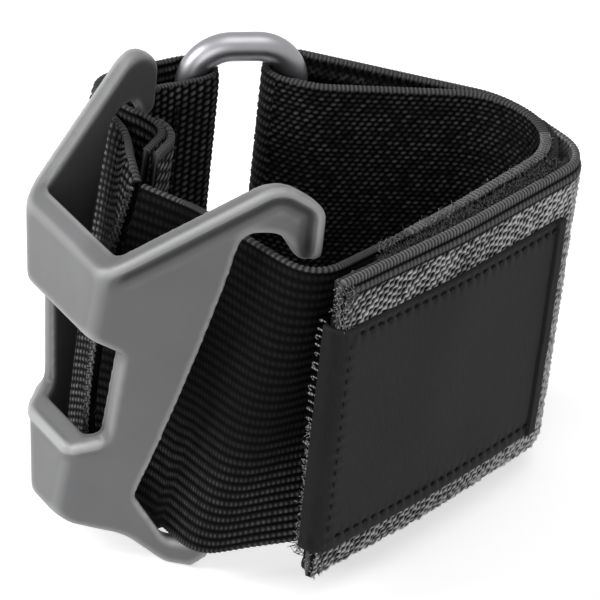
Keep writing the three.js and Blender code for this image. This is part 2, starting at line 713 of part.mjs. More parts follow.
function toolClip() {
  const backY = HOOK_TIP_BACK + CLIP_WALL;
  const reach = CLIP_TOP_HALF + (backY - CLIP_FRONT_Y) * CLIP_FOOT_FLARE;
  const outer = loft(clipSections(CLIP_FRONT_Y, backY, 0, CLIP_CORNER));
  const innerFront = CLIP_FRONT_Y + CLIP_FRONT_WALL;
  const inner = loft(clipSections(innerFront, backY + CLIP_WALL, CLIP_WALL, CLIP_INNER_CORNER));
  const shape = new THREE.Shape(clipProfile().map(([y, z]) => new THREE.Vector2(y, z)));
  const side = new THREE.ExtrudeGeometry(shape, { depth: 2 * reach, bevelEnabled: false, curveSegments: 1 });
  side.translate(0, 0, -reach);
  side.applyMatrix4(new THREE.Matrix4().makeBasis(
    new THREE.Vector3(0, 1, 0),
    new THREE.Vector3(0, 0, 1),
    new THREE.Vector3(1, 0, 0),
  ));
  return fromSolid(toSolid(outer).subtract(toSolid(inner)).intersect(toSolid(side)));
}

// Finishes, one material to each piece
const greyPlastic = { color: 0x8f9192, roughness: 0.42, metalness: 0 };
const steel = { color: 0xc4c5c8, roughness: 0.28, metalness: 1 };
const blackWebbing = { color: 0x1b1b1c, roughness: 0.9, metalness: 0 };
const greyTape = { color: 0x77787a, roughness: 0.9, metalness: 0 };
const darkPile = { color: 0x202021, roughness: 1, metalness: 0 };
const blackPatch = { color: 0x29292b, roughness: 0.5, metalness: 0 };
const blackThread = { color: 0x141414, roughness: 0.8, metalness: 0 };
const paleThread = { color: 0xa9aaab, roughness: 0.85, metalness: 0 };

const root = new THREE.Group();
function piece(name, geometry, finish) {
  const mesh = new THREE.Mesh(geometry, new THREE.MeshStandardMaterial(finish));
  mesh.name = name;
  root.add(mesh);
}

piece('tool_clip', toolClip(), greyPlastic);
piece('adjuster_ring', adjusterRing(), steel);
piece('main_band', mainBand(), blackWebbing);
piece('ring_loop_band', ringLoopBand(), blackWebbing);
piece('ring_loop_thread', ringLoopThread(), blackThread);
piece('facing_tape', facingTape(), greyTape);
piece('crest_seam', crestSeam(), paleThread);
piece('loop_tape', loopTape(), darkPile);
piece('loop_thread_upper', loopTapeThread(1), blackThread);
piece('loop_thread_lower', loopTapeThread(0), blackThread);
piece('flap_web', flapWeb(), greyTape);
piece('hook_tape', hookTape(), greyTape);
piece('label_patch', labelPatch(), blackPatch);
piece('label_thread', labelThread(), blackThread);

// The origin is under the middle of the strap's box, on the surface that it stands on
const box = new THREE.Box3().setFromObject(root);
const middle = box.getCenter(new THREE.Vector3());
root.position.set(-middle.x, -middle.y, -box.min.z);

export default root;
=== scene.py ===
import math

import bmesh
import bpy
import numpy as np
from mathutils import Matrix, Vector


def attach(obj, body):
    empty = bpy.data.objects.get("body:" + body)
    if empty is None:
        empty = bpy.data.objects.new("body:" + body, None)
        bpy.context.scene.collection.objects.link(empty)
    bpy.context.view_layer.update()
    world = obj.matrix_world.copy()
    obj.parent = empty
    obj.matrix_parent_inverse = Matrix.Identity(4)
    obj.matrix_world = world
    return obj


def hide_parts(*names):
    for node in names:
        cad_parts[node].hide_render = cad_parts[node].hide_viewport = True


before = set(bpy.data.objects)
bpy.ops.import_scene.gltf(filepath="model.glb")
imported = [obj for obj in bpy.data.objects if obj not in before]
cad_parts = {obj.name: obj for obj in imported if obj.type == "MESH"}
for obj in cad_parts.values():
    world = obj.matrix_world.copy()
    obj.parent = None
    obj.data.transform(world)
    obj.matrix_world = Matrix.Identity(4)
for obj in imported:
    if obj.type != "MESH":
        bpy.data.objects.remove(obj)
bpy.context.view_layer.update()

# Lengths are millimetres in the strap's own plan; the row frame sits ROW_SHIFT away from it
MM = 0.001
ROW_SHIFT = (-0.549, 2.845, 0.0)

# Webbing and tapes
WEB_WIDTH = 50.0
WEB_THICK = 1.7
BAND_LIFT = 5.0
FLAP_DROP = 1.1
FLAP_TILT = 0.03
LOOP_TAPE_THICK = 0.7
HOOK_TAPE_THICK = 0.7
TAPE_INSET = 0.6
SEWN_GAP = 0.2
PILE_GAP = 0.25

# Route of the webbing round the wrist, upper edge, seen from above
CREST = (-2.8, -28.8)
RIGHT_BREAK = (6, -25)
NEAR_CORNER = (28.7, -19.8)
FRONT_LOWER = (25.5, -8)
FRONT_BOW = (21.8, 5.5)
RIGHT_CORNER = (5.6, 52.4)
RING_APPROACH = (-16.5, 9.4)
BREAK_RADIUS = 18
NEAR_RADIUS = 4.8
FRONT_LOWER_RADIUS = 10
FRONT_BOW_RADIUS = 120
RIGHT_RADIUS = 11.6
APPROACH_RADIUS = 8
CREST_LEAN = -3.7
CREST_BOW = -2.4
BREAK_LEAN = (-1, -4.3)
NEAR_LEAN = (-9.2, -8.4)
FRONT_LEAN = (-1.6, -0.5)
NEAR_LEAN_RADIUS = -1.3
TAIL_CORNER = (-5.2, 35)
TAIL_CORNER_RADIUS = 14
TAIL_SLOPE = 0.1
FLAP_CORNER_RADIUS = 7
FLAP_REACH = 24.9

# Ring loop webbing on the left
LEFT_BREAK = (-11.5, -25.6)
LEFT_SLOT = (-19, -23)
LEFT_SLOT_SLOPE = -0.2
LEFT_BREAK_LEAN = (2.5, -3.9)
LEFT_CORNER_LEAN = (9.2, -7.3)
LEFT_CORNER_RADIUS = 5.6
RETURN_CORNER = (-26.2, -21.6)
RETURN_LEAN = (4.6, -2.2)
RETURN_RADIUS = 2.6
RETURN_SLOT = (-17.6, -20.3)
RETURN_SLOT_LEAN = (0.4, -3)
RETURN_SLOT_RADIUS = 2
RETURN_BOW = (-14.8, -16.9)
RETURN_BOW_LEAN = (0.6, -2)
RETURN_BOW_RADIUS = 2
RETURN_END = (-10.4, -23.4)
RETURN_END_LEAN = (0.4, -3.6)
FACING_THICK = 0.8
FACING_LENGTH = 9
FACING_HEIGHT = 34

# Adjuster ring
WIRE_DIAMETER = 4
RING_HEIGHT = 60.2
LEFT_LEG = (-28.6, -5)
RIGHT_LEG = (-23, 9.7)
LEFT_LEG_CLEAR = 0.4
LEFT_LEG_PLAY = 0.5
LOOP_STRAIGHT = 4
LOOP_STRAIGHT_RADIUS = 10
RIGHT_LEG_PLAY = 1.25
TURN_HEADING = (-0.8, -0.6)
TURN_FULLNESS = 0.99

# Label patch
LABEL_LENGTH = 50
LABEL_HEIGHT = 37.5
LABEL_THICK = 0.9
LABEL_RISE = 5
LABEL_WRAP = 3.2
LABEL_WRAP_RADIUS = 2.2

# Clip, in depth and height
CLIP_FRONT_Y = -43
CLIP_TOP_HALF = 11.2
CLIP_TOP_FLARE = 0.46
CLIP_FOOT_HALF = 3.6
CLIP_FOOT_FLARE = 0.835
CLIP_FRONT_TOP = 50.8
CLIP_FRONT_FOOT = 6
HOOK_TOP = 66
HOOK_FALL = 3.9
HOOK_PEAK_Y = -21.2
HOOK_TIP_BACK = -15.4
HOOK_TIP_DEPTH = 1.6
WINDOW_FOOT = 18.8
WINDOW_DEPTH = 4.6
WINDOW_SLOPE = 2.4

# Fineness
ARC_STEPS = 16
STRAIGHT_REACH = 0.6
LINE_STEP = 0.2
EDGE_STEPS = 4
EDGE_ROUND = 0.42
EDGE_THIN_REACH = 2.4
HIDDEN_STEP = 8
TANGENT_STEP = 0.2
SEAM_WELD = 1e-7
SKIN_WELD = 2e-6


def row(points):
    """Plan millimetres to metres in the row frame."""
    return (np.asarray(points, float) + ROW_SHIFT) * MM


def ease(x):
    x = np.clip(x, 0, 1)
    return x * x * (3 - 2 * x)


def chance(a, b=0.0):
    """A settled number from 0 to 1 for each pair of cell numbers."""
    x = np.sin(np.asarray(a) * 12.9898 + np.asarray(b) * 78.233) * 43758.5453
    return x - np.floor(x)


# Routes seen from above

def unit(a):
    return np.asarray(a, float) / np.hypot(a[0], a[1])


def right_of(a):
    return np.array([a[1], -a[0]])


def rounded_route(corners):
    points = []
    last = len(corners) - 1
    for i, (corner, radius) in enumerate(corners):
        corner = np.array(corner, float)
        if i in (0, last):
            points.append(corner)
            continue
        before = unit(corner - corners[i - 1][0])
        after = unit(corners[i + 1][0] - corner)
        cross = before[0] * after[1] - before[1] * after[0]
        turn = math.atan2(cross, before @ after)
        reach = radius * math.tan(abs(turn) / 2)
        if reach < STRAIGHT_REACH:
            for k in np.linspace(-STRAIGHT_REACH, STRAIGHT_REACH, ARC_STEPS + 1):
                points.append(corner + (before if k < 0 else after) * k)
            continue
        start = corner - before * reach
        centre = start + right_of(before) * (-radius if cross > 0 else radius)
        arm = start - centre
        for angle in np.linspace(0, turn, ARC_STEPS + 1):
            c, s = math.cos(angle), math.sin(angle)
            points.append(centre + np.array([arm[0] * c - arm[1] * s, arm[0] * s + arm[1] * c]))
    return np.array(points)


def crossing(point_a, heading_a, point_b, heading_b):
    gap = point_b - point_a
    det = heading_a[0] * heading_b[1] - heading_a[1] * heading_b[0]
    return point_a + heading_a * (gap[0] * heading_b[1] - gap[1] * heading_b[0]) / det


def leaned(point, lean, level):
    return np.array(point, float) + np.array(lean) * (1 - level)


def crest_at(level):
    return np.array(CREST) + (0, CREST_LEAN * (1 - level) + CREST_BOW * 4 * level * (1 - level))


def runs(points):
    steps = np.hypot(*np.diff(points, axis=0).T)
    return np.concatenate([[0], np.cumsum(steps)])


STACK = WEB_THICK + 2 * SEWN_GAP + LOOP_TAPE_THICK + PILE_GAP + HOOK_TAPE_THICK
RING_TURN = WIRE_DIAMETER / 2 + RIGHT_LEG_PLAY + WEB_THICK / 2
LEFT_TURN = WIRE_DIAMETER / 2 + LEFT_LEG_CLEAR + WEB_THICK / 2


def flap_corners():
    bow = np.array(FRONT_BOW)
    upper = unit(bow - RIGHT_CORNER)
    lower = unit(np.array(NEAR_CORNER) - bow)
    upper_point = bow - right_of(upper) * STACK
    lower_point = bow - right_of(lower) * STACK
    bend = crossing(upper_point, upper, lower_point, lower)
    corner = crossing(np.array(TAIL_CORNER, float), unit((1, TAIL_SLOPE)), upper_point, upper)
    return corner, bend, bend + lower * FLAP_REACH


def webbing_route(level):
    ahead = unit(TURN_HEADING) * RING_TURN
    side = right_of(ahead)
    corner, bend, end = flap_corners()
    return rounded_route([
        (crest_at(level) + (WEB_THICK / 2, 0), 0),
        (leaned(RIGHT_BREAK, BREAK_LEAN, level), BREAK_RADIUS),
        (leaned(NEAR_CORNER, NEAR_LEAN, level), NEAR_RADIUS + NEAR_LEAN_RADIUS * (1 - level)),
        (leaned(FRONT_LOWER, FRONT_LEAN, level), FRONT_LOWER_RADIUS),
        (np.array(FRONT_BOW), FRONT_BOW_RADIUS),
        (np.array(RIGHT_CORNER), RIGHT_RADIUS),
        (np.array(RING_APPROACH), APPROACH_RADIUS),
        (RIGHT_LEG + ahead - side, RING_TURN * TURN_FULLNESS),
        (RIGHT_LEG + ahead + side, RING_TURN * TURN_FULLNESS),
        (np.array(TAIL_CORNER), TAIL_CORNER_RADIUS),
        (corner, FLAP_CORNER_RADIUS),
        (bend, FRONT_BOW_RADIUS + STACK),
        (end, 0),
    ])


def ring_loop_route(level):
    out_x, in_x = LEFT_LEG[0] - LEFT_TURN, LEFT_LEG[0] + LEFT_TURN
    top_y = LEFT_LEG[1] + LEFT_TURN + LEFT_LEG_PLAY
    straight_y = LEFT_LEG[1] - LOOP_STRAIGHT
    slot_y = LEFT_SLOT[1] + LEFT_SLOT_SLOPE * (out_x - LEFT_SLOT[0])
    return rounded_route([
        (crest_at(level) - (WEB_THICK / 2, 0), 0),
        (leaned(LEFT_BREAK, LEFT_BREAK_LEAN, level), BREAK_RADIUS),
        (leaned((out_x, slot_y), LEFT_CORNER_LEAN, level), LEFT_CORNER_RADIUS),
        (np.array((out_x, straight_y)), LOOP_STRAIGHT_RADIUS),
        (np.array((out_x, top_y)), LEFT_TURN * TURN_FULLNESS),
        (np.array((in_x, top_y)), LEFT_TURN * TURN_FULLNESS),
        (np.array((in_x, straight_y)), LOOP_STRAIGHT_RADIUS),
        (leaned(RETURN_CORNER, RETURN_LEAN, level), RETURN_RADIUS),
        (leaned(RETURN_SLOT, RETURN_SLOT_LEAN, level), RETURN_SLOT_RADIUS),
        (leaned(RETURN_BOW, RETURN_BOW_LEAN, level), RETURN_BOW_RADIUS),
        (leaned(RETURN_END, RETURN_END_LEAN, level), 0),
    ])


def first_of(corner):
    return 1 + (corner - 1) * (ARC_STEPS + 1)


UNMOVED = ((0,), (0,))


class WebSurface:
    """The middle of a webbing, by run along it and height above its lower edge."""

    def __init__(self, lines, foot, width, lifts=UNMOVED, crowns=UNMOVED, sags=UNMOVED, softness=1.0):
        self.station = runs(lines[1])
        self.length = self.station[-1]
        self.run = np.linspace(0, self.length, int(self.length / LINE_STEP) + 1)
        self.lines = [self.softened(line, softness) for line in lines]
        self.slopes = [np.gradient(line, self.run, axis=0) for line in self.lines]
        self.foot, self.width = foot, width
        self.lifts, self.crowns, self.sags = lifts, crowns, sags

    def softened(self, line, softness):
        fine = np.stack([np.interp(self.run, self.station, line[:, k]) for k in (0, 1)], axis=1)
        reach = int(3 * softness / LINE_STEP)
        kernel = np.exp(-0.5 * (np.arange(-reach, reach + 1) * LINE_STEP / softness) ** 2)
        kernel /= kernel.sum()
        ahead = 2 * fine[0] - fine[reach:0:-1]
        behind = 2 * fine[-1] - fine[-2:-reach - 2:-1]
        padded = np.concatenate([ahead, fine, behind])
        return np.stack([np.convolve(padded[:, k], kernel, "valid") for k in (0, 1)], axis=1)

    def at(self, u, w):
        """Points, outward sides and upward directions at runs u and heights w."""
        k = w / self.width
        shares = [(1 - k) * (1 - 2 * k), 4 * k * (1 - k), k * (2 * k - 1)]
        slants = [(4 * k - 3) / self.width, (4 - 8 * k) / self.width, (4 * k - 1) / self.width]
        place = np.zeros((len(u), 3))
        along = np.zeros((len(u), 3))
        up = np.zeros((len(u), 3))
        for line, slope, share, slant in zip(self.lines, self.slopes, shares, slants):
            for axis in (0, 1):
                value = np.interp(u, self.run, line[:, axis])
                place[:, axis] += share * value
                up[:, axis] += slant * value
                along[:, axis] += share * np.interp(u, self.run, slope[:, axis])
        place[:, 2] = self.foot + w + np.interp(u, *self.lifts)
        place[:, 2] += np.interp(u, *self.crowns) * k ** 3 - np.interp(u, *self.sags) * (1 - k) ** 3
        up[:, 2] = 1
        side = np.cross(along, up)
        side /= np.linalg.norm(side, axis=1)[:, None]
        up /= np.linalg.norm(up, axis=1)[:, None]
        return place, side, up


webbing_lines = [webbing_route(level) for level in (0, 0.5, 1)]
web_station = runs(webbing_lines[1])
FRONT_RUN = web_station[first_of(3)]
RIGHT_RUN = web_station[first_of(5)]
RING_RUN = web_station[first_of(7)]
TURN_END_RUN = web_station[first_of(9) - 1]
TAIL_RUN = web_station[first_of(9)]
HINGE_RUN = web_station[first_of(10) + ARC_STEPS // 2]
END_RUN = web_station[-1]
FLAP_LIFTS = (0, -FLAP_DROP, -FLAP_DROP, -FLAP_DROP + FLAP_TILT * (END_RUN - HINGE_RUN))
FOOT_SINK = 0.6
INNER_SINK = 2.6
SAG_RUNS = (1, 6, 14.9, 17.6, 23, 34)
band = WebSurface(
    webbing_lines,
    BAND_LIFT,
    WEB_WIDTH,
    ((TURN_END_RUN, TAIL_RUN, HINGE_RUN, END_RUN), FLAP_LIFTS),
    sags=(SAG_RUNS, (0, INNER_SINK, INNER_SINK, FOOT_SINK, FOOT_SINK, 0)),
)
ring_lines = [ring_loop_route(level) for level in (0, 0.5, 1)]
ring_station = runs(ring_lines[1])
LEFT_SLOT_RUN = (ring_station[first_of(1)] + ring_station[first_of(2)]) / 2
RETURN_SLOT_RUN = ring_station[first_of(8) + ARC_STEPS // 2]
RETURN_BOW_RUN = ring_station[first_of(9) + ARC_STEPS // 2]
SLOT_RISE = 1.5
SLOT_RISE_RUNS = (
    LEFT_SLOT_RUN - 7,
    LEFT_SLOT_RUN + 1,
    LEFT_SLOT_RUN + 7,
    RETURN_SLOT_RUN - 8,
    RETURN_SLOT_RUN,
    RETURN_BOW_RUN + 1,
)
ring_loop = WebSurface(
    ring_lines,
    BAND_LIFT,
    WEB_WIDTH,
    crowns=(SLOT_RISE_RUNS, (0, SLOT_RISE, 0, 0, SLOT_RISE, 0)),
)


# Materials

def fill(tree, node, values):
    """Gives a node's inputs their values; an output of another node is linked."""
    for key, value in values.items():
        if isinstance(value, bpy.types.NodeSocket):
            tree.links.new(value, node.inputs[key])
        else:
            node.inputs[key].default_value = value


def made_by(tree, kind, output, values, **settings):
    """The named output of a new node with the given settings and inputs."""
    node = tree.nodes.new(kind)
    for key, value in settings.items():
        setattr(node, key, value)
    fill(tree, node, values)
    return node.outputs[output]


def new_material(name, roughness, base=(0.02, 0.02, 0.021), metallic=0.0, sheen=0.0, gloss=0.5):
    material = bpy.data.materials.new(name)
    material.use_nodes = True
    tree = material.node_tree
    shader = tree.nodes["Principled BSDF"]
    fill(tree, shader, {
        "Base Color": (*base, 1),
        "Roughness": roughness,
        "Metallic": metallic,
        "Specular IOR Level": gloss,
        "Sheen Weight": sheen,
        "Sheen Roughness": 0.45,
    })
    return material, tree, shader


def noise(tree, vector, scale, detail=2.0, stretch=(1, 1, 1), rough=0.5):
    mapped = made_by(tree, "ShaderNodeMapping", "Vector", {"Vector": vector, "Scale": stretch})
    values = {"Vector": mapped, "Scale": scale, "Detail": detail, "Roughness": rough}
    return made_by(tree, "ShaderNodeTexNoise", "Fac", values)


def ramp(tree, factor, stops):
    node = tree.nodes.new("ShaderNodeValToRGB")
    while len(node.color_ramp.elements) < len(stops):
        node.color_ramp.elements.new(0.5)
    for element, (place, shade) in zip(node.color_ramp.elements, stops):
        element.position = place
        element.color = (*shade, 1) if isinstance(shade, tuple) else (shade, shade, shade, 1)
    tree.links.new(factor, node.inputs["Fac"])
    return node.outputs["Color"]


def bump(tree, shader, height, strength, distance):
    values = {"Height": height, "Strength": strength, "Distance": distance}
    fill(tree, shader, {"Normal": made_by(tree, "ShaderNodeBump", "Normal", values)})


def blended(tree, kind, factor, a, b):
    values = {"Factor": factor, "A": a, "B": b}
    return made_by(tree, "ShaderNodeMix", "Result", values, data_type="RGBA", blend_type=kind)


def grey_range(tree, factor, low, high):
    return made_by(tree, "ShaderNodeMapRange", "Result", {"Value": factor, "To Min": low, "To Max": high})


def tone_of(tree):
    return made_by(tree, "ShaderNodeAttribute", "Fac", {}, attribute_name="tone")


def weave_of(tree):
    return made_by(tree, "ShaderNodeUVMap", "UV", {}, uv_map="weave")


def place_of(tree):
    return made_by(tree, "ShaderNodeTexCoord", "Object", {})


def coat(tree, shader, base, rough):
    fill(tree, shader, {"Base Color": base, "Roughness": rough})


def cloth_material(name, tones, roughness, sheen, fibre=0.6, uneven=0.35):
    """Yarn coloured by the weave's own relief, partly its own pattern and partly painted shade in the hollows
    and painted highlight on the tops, with twisted fibres and uneven dye over it.
    """
    material, tree, shader = new_material(name, roughness, sheen=sheen, gloss=0.04)
    weave = weave_of(tree)
    fibres = noise(tree, weave, scale=5.0, detail=3.0, stretch=(1, 3, 1), rough=0.65)
    patches = noise(tree, weave, scale=0.16, detail=3.0)
    # Painted shade and painted highlight: the tone ramp darkens the weave's hollows and lightens its tops.
    base = ramp(tree, tone_of(tree), tones)
    mottled = blended(tree, "MULTIPLY", uneven, base, ramp(tree, patches, [(0.3, 0.35), (0.7, 1.0)]))
    frayed = blended(tree, "MULTIPLY", fibre, mottled, ramp(tree, fibres, [(0.3, 0.3), (0.68, 1.0)]))
    coat(tree, shader, frayed, grey_range(tree, fibres, roughness - 0.12, roughness + 0.12))
    bump(tree, shader, fibres, strength=0.5, distance=0.00012)
    return material


def clip_material():
    """Satin moulded plastic with fine spark texture and scuffs, darkened by painted shade in its grooves and
    hollows and lightened by a painted highlight along its edges.
    """
    material, tree, shader = new_material("clip_satin_grey", 0.4, (0.17, 0.172, 0.175), gloss=0.3)
    place = place_of(tree)
    tone = tone_of(tree)
    spark = noise(tree, place, scale=5200.0, detail=2.0, rough=0.6)
    cloud = noise(tree, place, scale=60.0, detail=3.0)
    scuff = noise(tree, place, scale=900.0, detail=4.0, stretch=(1, 1, 0.12))
    base = ramp(tree, cloud, [(0.3, (0.15, 0.151, 0.154)), (0.7, (0.175, 0.176, 0.18))])
    # Painted shade where the tone is low, then a painted highlight added where the tone is high.
    clip_painted_shade = blended(tree, "MULTIPLY", 1.0, base, ramp(tree, tone, [(0.0, 0.15), (0.5, 1.0)]))
    lift_with_painted_light = blended(tree, "ADD", 1.0, clip_painted_shade, ramp(tree, tone, [(0.5, 0.0), (1.0, 0.3)]))
    sparked = ramp(tree, spark, [(0.3, 0.30), (0.7, 0.42)])
    scuffed = ramp(tree, scuff, [(0.35, 0.34), (0.75, 0.5)])
    coat(tree, shader, lift_with_painted_light, blended(tree, "MIX", 0.4, sparked, scuffed))
    bump(tree, shader, spark, strength=0.12, distance=0.00004)
    return material


def steel_material():
    """Satin steel wire with fine lines from drawing."""
    material, tree, shader = new_material("ring_satin_steel", 0.36, (0.6, 0.6, 0.62), metallic=1.0)
    place = place_of(tree)
    drawn = noise(tree, place, scale=700.0, detail=3.0, stretch=(1, 1, 0.06))
    cloud = noise(tree, place, scale=90.0, detail=3.0)
    base = ramp(tree, cloud, [(0.3, (0.29, 0.29, 0.305)), (0.7, (0.36, 0.36, 0.375))])
    coat(tree, shader, base, grey_range(tree, drawn, 0.32, 0.46))
    bump(tree, shader, drawn, strength=0.1, distance=0.00002)
    return material


def leather_material():
    """Dark leather with upright grain and pores, toned by its tone attribute: painted shade in its crease and
    over its turned-in end, a darker border and paler edges.
    """
    material, tree, shader = new_material("label_leather", 0.6, (0.03, 0.03, 0.031), gloss=0.08)
    weave = weave_of(tree)
    grain = noise(tree, weave, scale=1.9, detail=5.0, stretch=(3.2, 0.2, 1), rough=0.65)
    pores = noise(tree, weave, scale=7.0, detail=2.0)
    cloud = noise(tree, weave, scale=0.09, detail=3.0)
    shades = [(0.25, (0.014, 0.014, 0.0145)), (0.5, (0.022, 0.022, 0.0225)), (0.8, (0.034, 0.034, 0.035))]
    base = ramp(tree, grain, shades)
    faded = blended(tree, "MULTIPLY", 0.4, base, ramp(tree, cloud, [(0.3, 0.6), (0.7, 1.0)]))
    # Painted shade: this ramp of the tone darkens the crease and the turned-in end.
    tone_and_painted_shade = ramp(tree, tone_of(tree), [(0.0, 0.25), (0.6, 1.0), (0.85, 1.35)])
    folded = blended(tree, "MULTIPLY", 1.0, faded, tone_and_painted_shade)
    coat(tree, shader, folded, grey_range(tree, grain, 0.5, 0.64))
    bump(tree, shader, blended(tree, "MIX", 0.3, grain, pores), strength=0.6, distance=0.00016)
    return material


def thread_material(name, dark, light, roughness=0.7):
    """Twisted thread, banded from a dark shade to a light one."""
    material, tree, shader = new_material(name, roughness, gloss=0.1)
    values = {"Vector": place_of(tree), "Scale": 900.0, "Distortion": 2.0}
    twist = made_by(tree, "ShaderNodeTexWave", "Fac", values, wave_type="BANDS", bands_direction="DIAGONAL")
    fill(tree, shader, {"Base Color": ramp(tree, twist, [(0.2, dark), (0.8, light)])})
    bump(tree, shader, twist, strength=0.4, distance=0.00006)
    return material


WEBBING_TONES = [(0.05, 0.0025), (0.3, 0.024), (0.56, 0.125), (0.75, 0.28), (1.0, 0.55)]
NET_TONES = [(0.08, 0.003), (0.35, 0.2), (0.6, 0.7), (0.9, 0.95)]
PILE_TONES = [(0.1, 0.004), (0.5, 0.025), (0.95, 0.1)]
HOOK_TONES = [(0.1, 0.006), (0.6, 0.03), (0.95, 0.12)]
FACING_TONES = [(0.08, 0.006), (0.45, 0.12), (1.0, 0.55)]
WEBBING = cloth_material("webbing_black", WEBBING_TONES, 0.66, 0.0, fibre=0.45, uneven=0.3)
FLAP_NET = cloth_material("flap_net_grey", NET_TONES, 0.72, 0.02, fibre=0.3, uneven=0.2)
TAPE_PILE = cloth_material("pile_tape", PILE_TONES, 0.8, 0.04)
HOOK_TAPE = cloth_material("hook_tape_grey", HOOK_TONES, 0.7, 0.02)
FACING = cloth_material("facing_grey", FACING_TONES, 0.75, 0.02, fibre=0.4, uneven=0.25)
CLIP_GREY = clip_material()
RING_STEEL = steel_material()
LEATHER = leather_material()
STITCH_BLACK = thread_material("stitch_black", 0.002, 0.012)
SEAM_PALE = thread_material("seam_pale", 0.12, 0.42)
SEAM_DIM = thread_material("seam_dim", 0.03, 0.16)
HOOK_MONO = thread_material("hook_monofilament", 0.06, 0.32, 0.3)
PILE_YARN = thread_material("pile_yarn", 0.01, 0.14, 0.85)
FRAY_YARN = thread_material("fray_yarn", 0.05, 0.34, 0.8)


# Woven pieces: pitches of the weaves and how far the wire presses into them
CORD_PITCH = 1.45
BEAD_PITCH = 0.64
DOT_RISE = 0.78
DOT_RUN = 1.14
KNOT_RUN = 1.3
KNOT_RISE = 1.1
WHIP_PITCH = 0.64
NET_ANGLE = math.radians(40)
NET_PITCH = 0.95
NET_STITCH = 1.25
NET_REACH = 13
WIRE_PRESS = 0.5


def face_levels(low, high, pitch, hidden):
    """Heights of the columns on one face, sparse between two heights where something else hides it."""
    levels = np.linspace(low, high, max(2, round((high - low) / pitch)) + 1)
    covered = (levels > hidden[0]) & (levels < hidden[1]) & (np.arange(len(levels)) % HIDDEN_STEP > 0)
    return levels[~covered]


def section_columns(low, high, thick, pitch_out, pitch_in, hidden=(0, 0), thinned=0.0):
    """Columns round a webbing's section, from the lower edge's middle and back: height, offset, facing."""
    r = thick / 2
    reach = r * EDGE_ROUND
    quarter = np.radians(np.linspace(-90, 0, EDGE_STEPS, endpoint=False))
    half = np.radians(np.linspace(0, 180, 2 * EDGE_STEPS + 1)[1:-1])
    rest = np.radians(np.linspace(180, 270, EDGE_STEPS + 1)[1:])
    rise = face_levels(low + reach, high - reach, pitch_out, (0, 0))
    fall = face_levels(low + reach, high - reach, pitch_in, hidden)[::-1]
    w = np.concatenate([
        low + reach + reach * np.sin(quarter),
        rise,
        high - reach + reach * np.sin(half),
        fall,
        low + reach + reach * np.sin(rest),
    ])
    up, down = np.ones(len(rise)), np.ones(len(fall))
    out = np.concatenate([np.cos(quarter), up, np.cos(half), -down, np.cos(rest)])
    lean = np.concatenate([np.sin(quarter), 0 * up, np.sin(half), 0 * down, np.sin(rest)])
    offset = r * out
    s = np.concatenate([[0], np.cumsum(np.hypot(np.diff(w), np.diff(offset)))])
    to_edge = np.minimum(w - low, high - w)
    offset = offset * (1 - thinned * (1 - ease(to_edge / EDGE_THIN_REACH)))
    return {"w": w, "offset": offset, "lean": lean, "out": out, "s": s, "low": low, "high": high}


def smooth_faces(bm):
    for face in bm.faces:
        face.smooth = True


def facing_out(bm):
    bmesh.ops.recalc_face_normals(bm, faces=bm.faces[:])
    smooth_faces(bm)


def closed_ends(bm):
    """Welds the sheet's long seam and closes its two ends."""
    bmesh.ops.remove_doubles(bm, verts=bm.verts[:], dist=SEAM_WELD)
    rim = [e for e in bm.edges if e.is_boundary]
    bmesh.ops.holes_fill(bm, edges=rim, sides=0)
    facing_out(bm)


def mesh_of(bm, name):
    mesh = bpy.data.meshes.new(name)
    bm.to_mesh(mesh)
    bm.free()
    return mesh


def opened(mesh):
    """A mesh taken up again for editing, in place of the mesh itself."""
    bm = bmesh.new()
    bm.from_mesh(mesh)
    bpy.data.meshes.remove(mesh)
    return bm


def placed(name, data):
    thing = bpy.data.objects.new(name, data)
    bpy.context.scene.collection.objects.link(thing)
    return thing


def finish_piece(bm, name, material, body):
    mesh = mesh_of(bm, name)
    piece = placed(name, mesh)
    mesh.materials.append(material)
    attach(piece, body)
    return piece


def woven_piece(name, surface, span, columns, step, relief, material, body, offset=0.0):
    """A flat sheet of the webbing's length and girth, wrapped into its section and laid along its route."""
    along = max(2, round((span[1] - span[0]) / step))
    around = len(columns["w"]) - 1
    bm = bmesh.new()
    bmesh.ops.create_grid(bm, x_segments=along, y_segments=around, size=1)
    mesh = mesh_of(bm, name + "_sheet")
    flat = np.empty(len(mesh.vertices) * 3)
    mesh.vertices.foreach_get("co", flat)
    flat = flat.reshape(-1, 3)
    u = span[0] + (flat[:, 0] + 1) / 2 * (span[1] - span[0])
    j = np.rint((flat[:, 1] + 1) / 2 * around).astype(int)
    w, s = columns["w"][j], columns["s"][j]
    place, side, up = surface.at(u, w)
    height, tone = relief(u, w, columns["out"][j], columns)
    place += side * (offset + columns["offset"][j] + height * columns["out"][j])[:, None]
    place += up * (height * columns["lean"][j])[:, None]
    mesh.vertices.foreach_set("co", row(place).ravel())
    mesh.attributes.new("tone", "FLOAT", "POINT").data.foreach_set("value", tone.astype(np.float32))
    corner = np.empty(len(mesh.loops), int)
    mesh.loops.foreach_get("vertex_index", corner)
    weave = np.stack([u, s], axis=1)[corner]
    mesh.uv_layers.new(name="weave").data.foreach_set("uv", weave.astype(np.float32).ravel())
    bm = opened(mesh)
    closed_ends(bm)
    return finish_piece(bm, name, material, body)


def ribs_along(u, pitch):
    """Even ribs across the run, from 0 between them to 1 on their tops."""
    return 0.5 + 0.5 * np.cos(2 * np.pi * u / pitch)


def ridge(x, middle, reach):
    """A round ridge: 1 on its middle line, 0 beyond its reach."""
    return np.sqrt(np.clip(1 - ((x - middle) / reach) ** 2, 0, 1))


def edge_distance(w, columns):
    return np.minimum(w - columns["low"], columns["high"] - w)


def cells(x):
    """The number of each cell and the place in it, from -0.5 to 0.5."""
    cell = np.floor(x)
    return cell, x - cell - 0.5


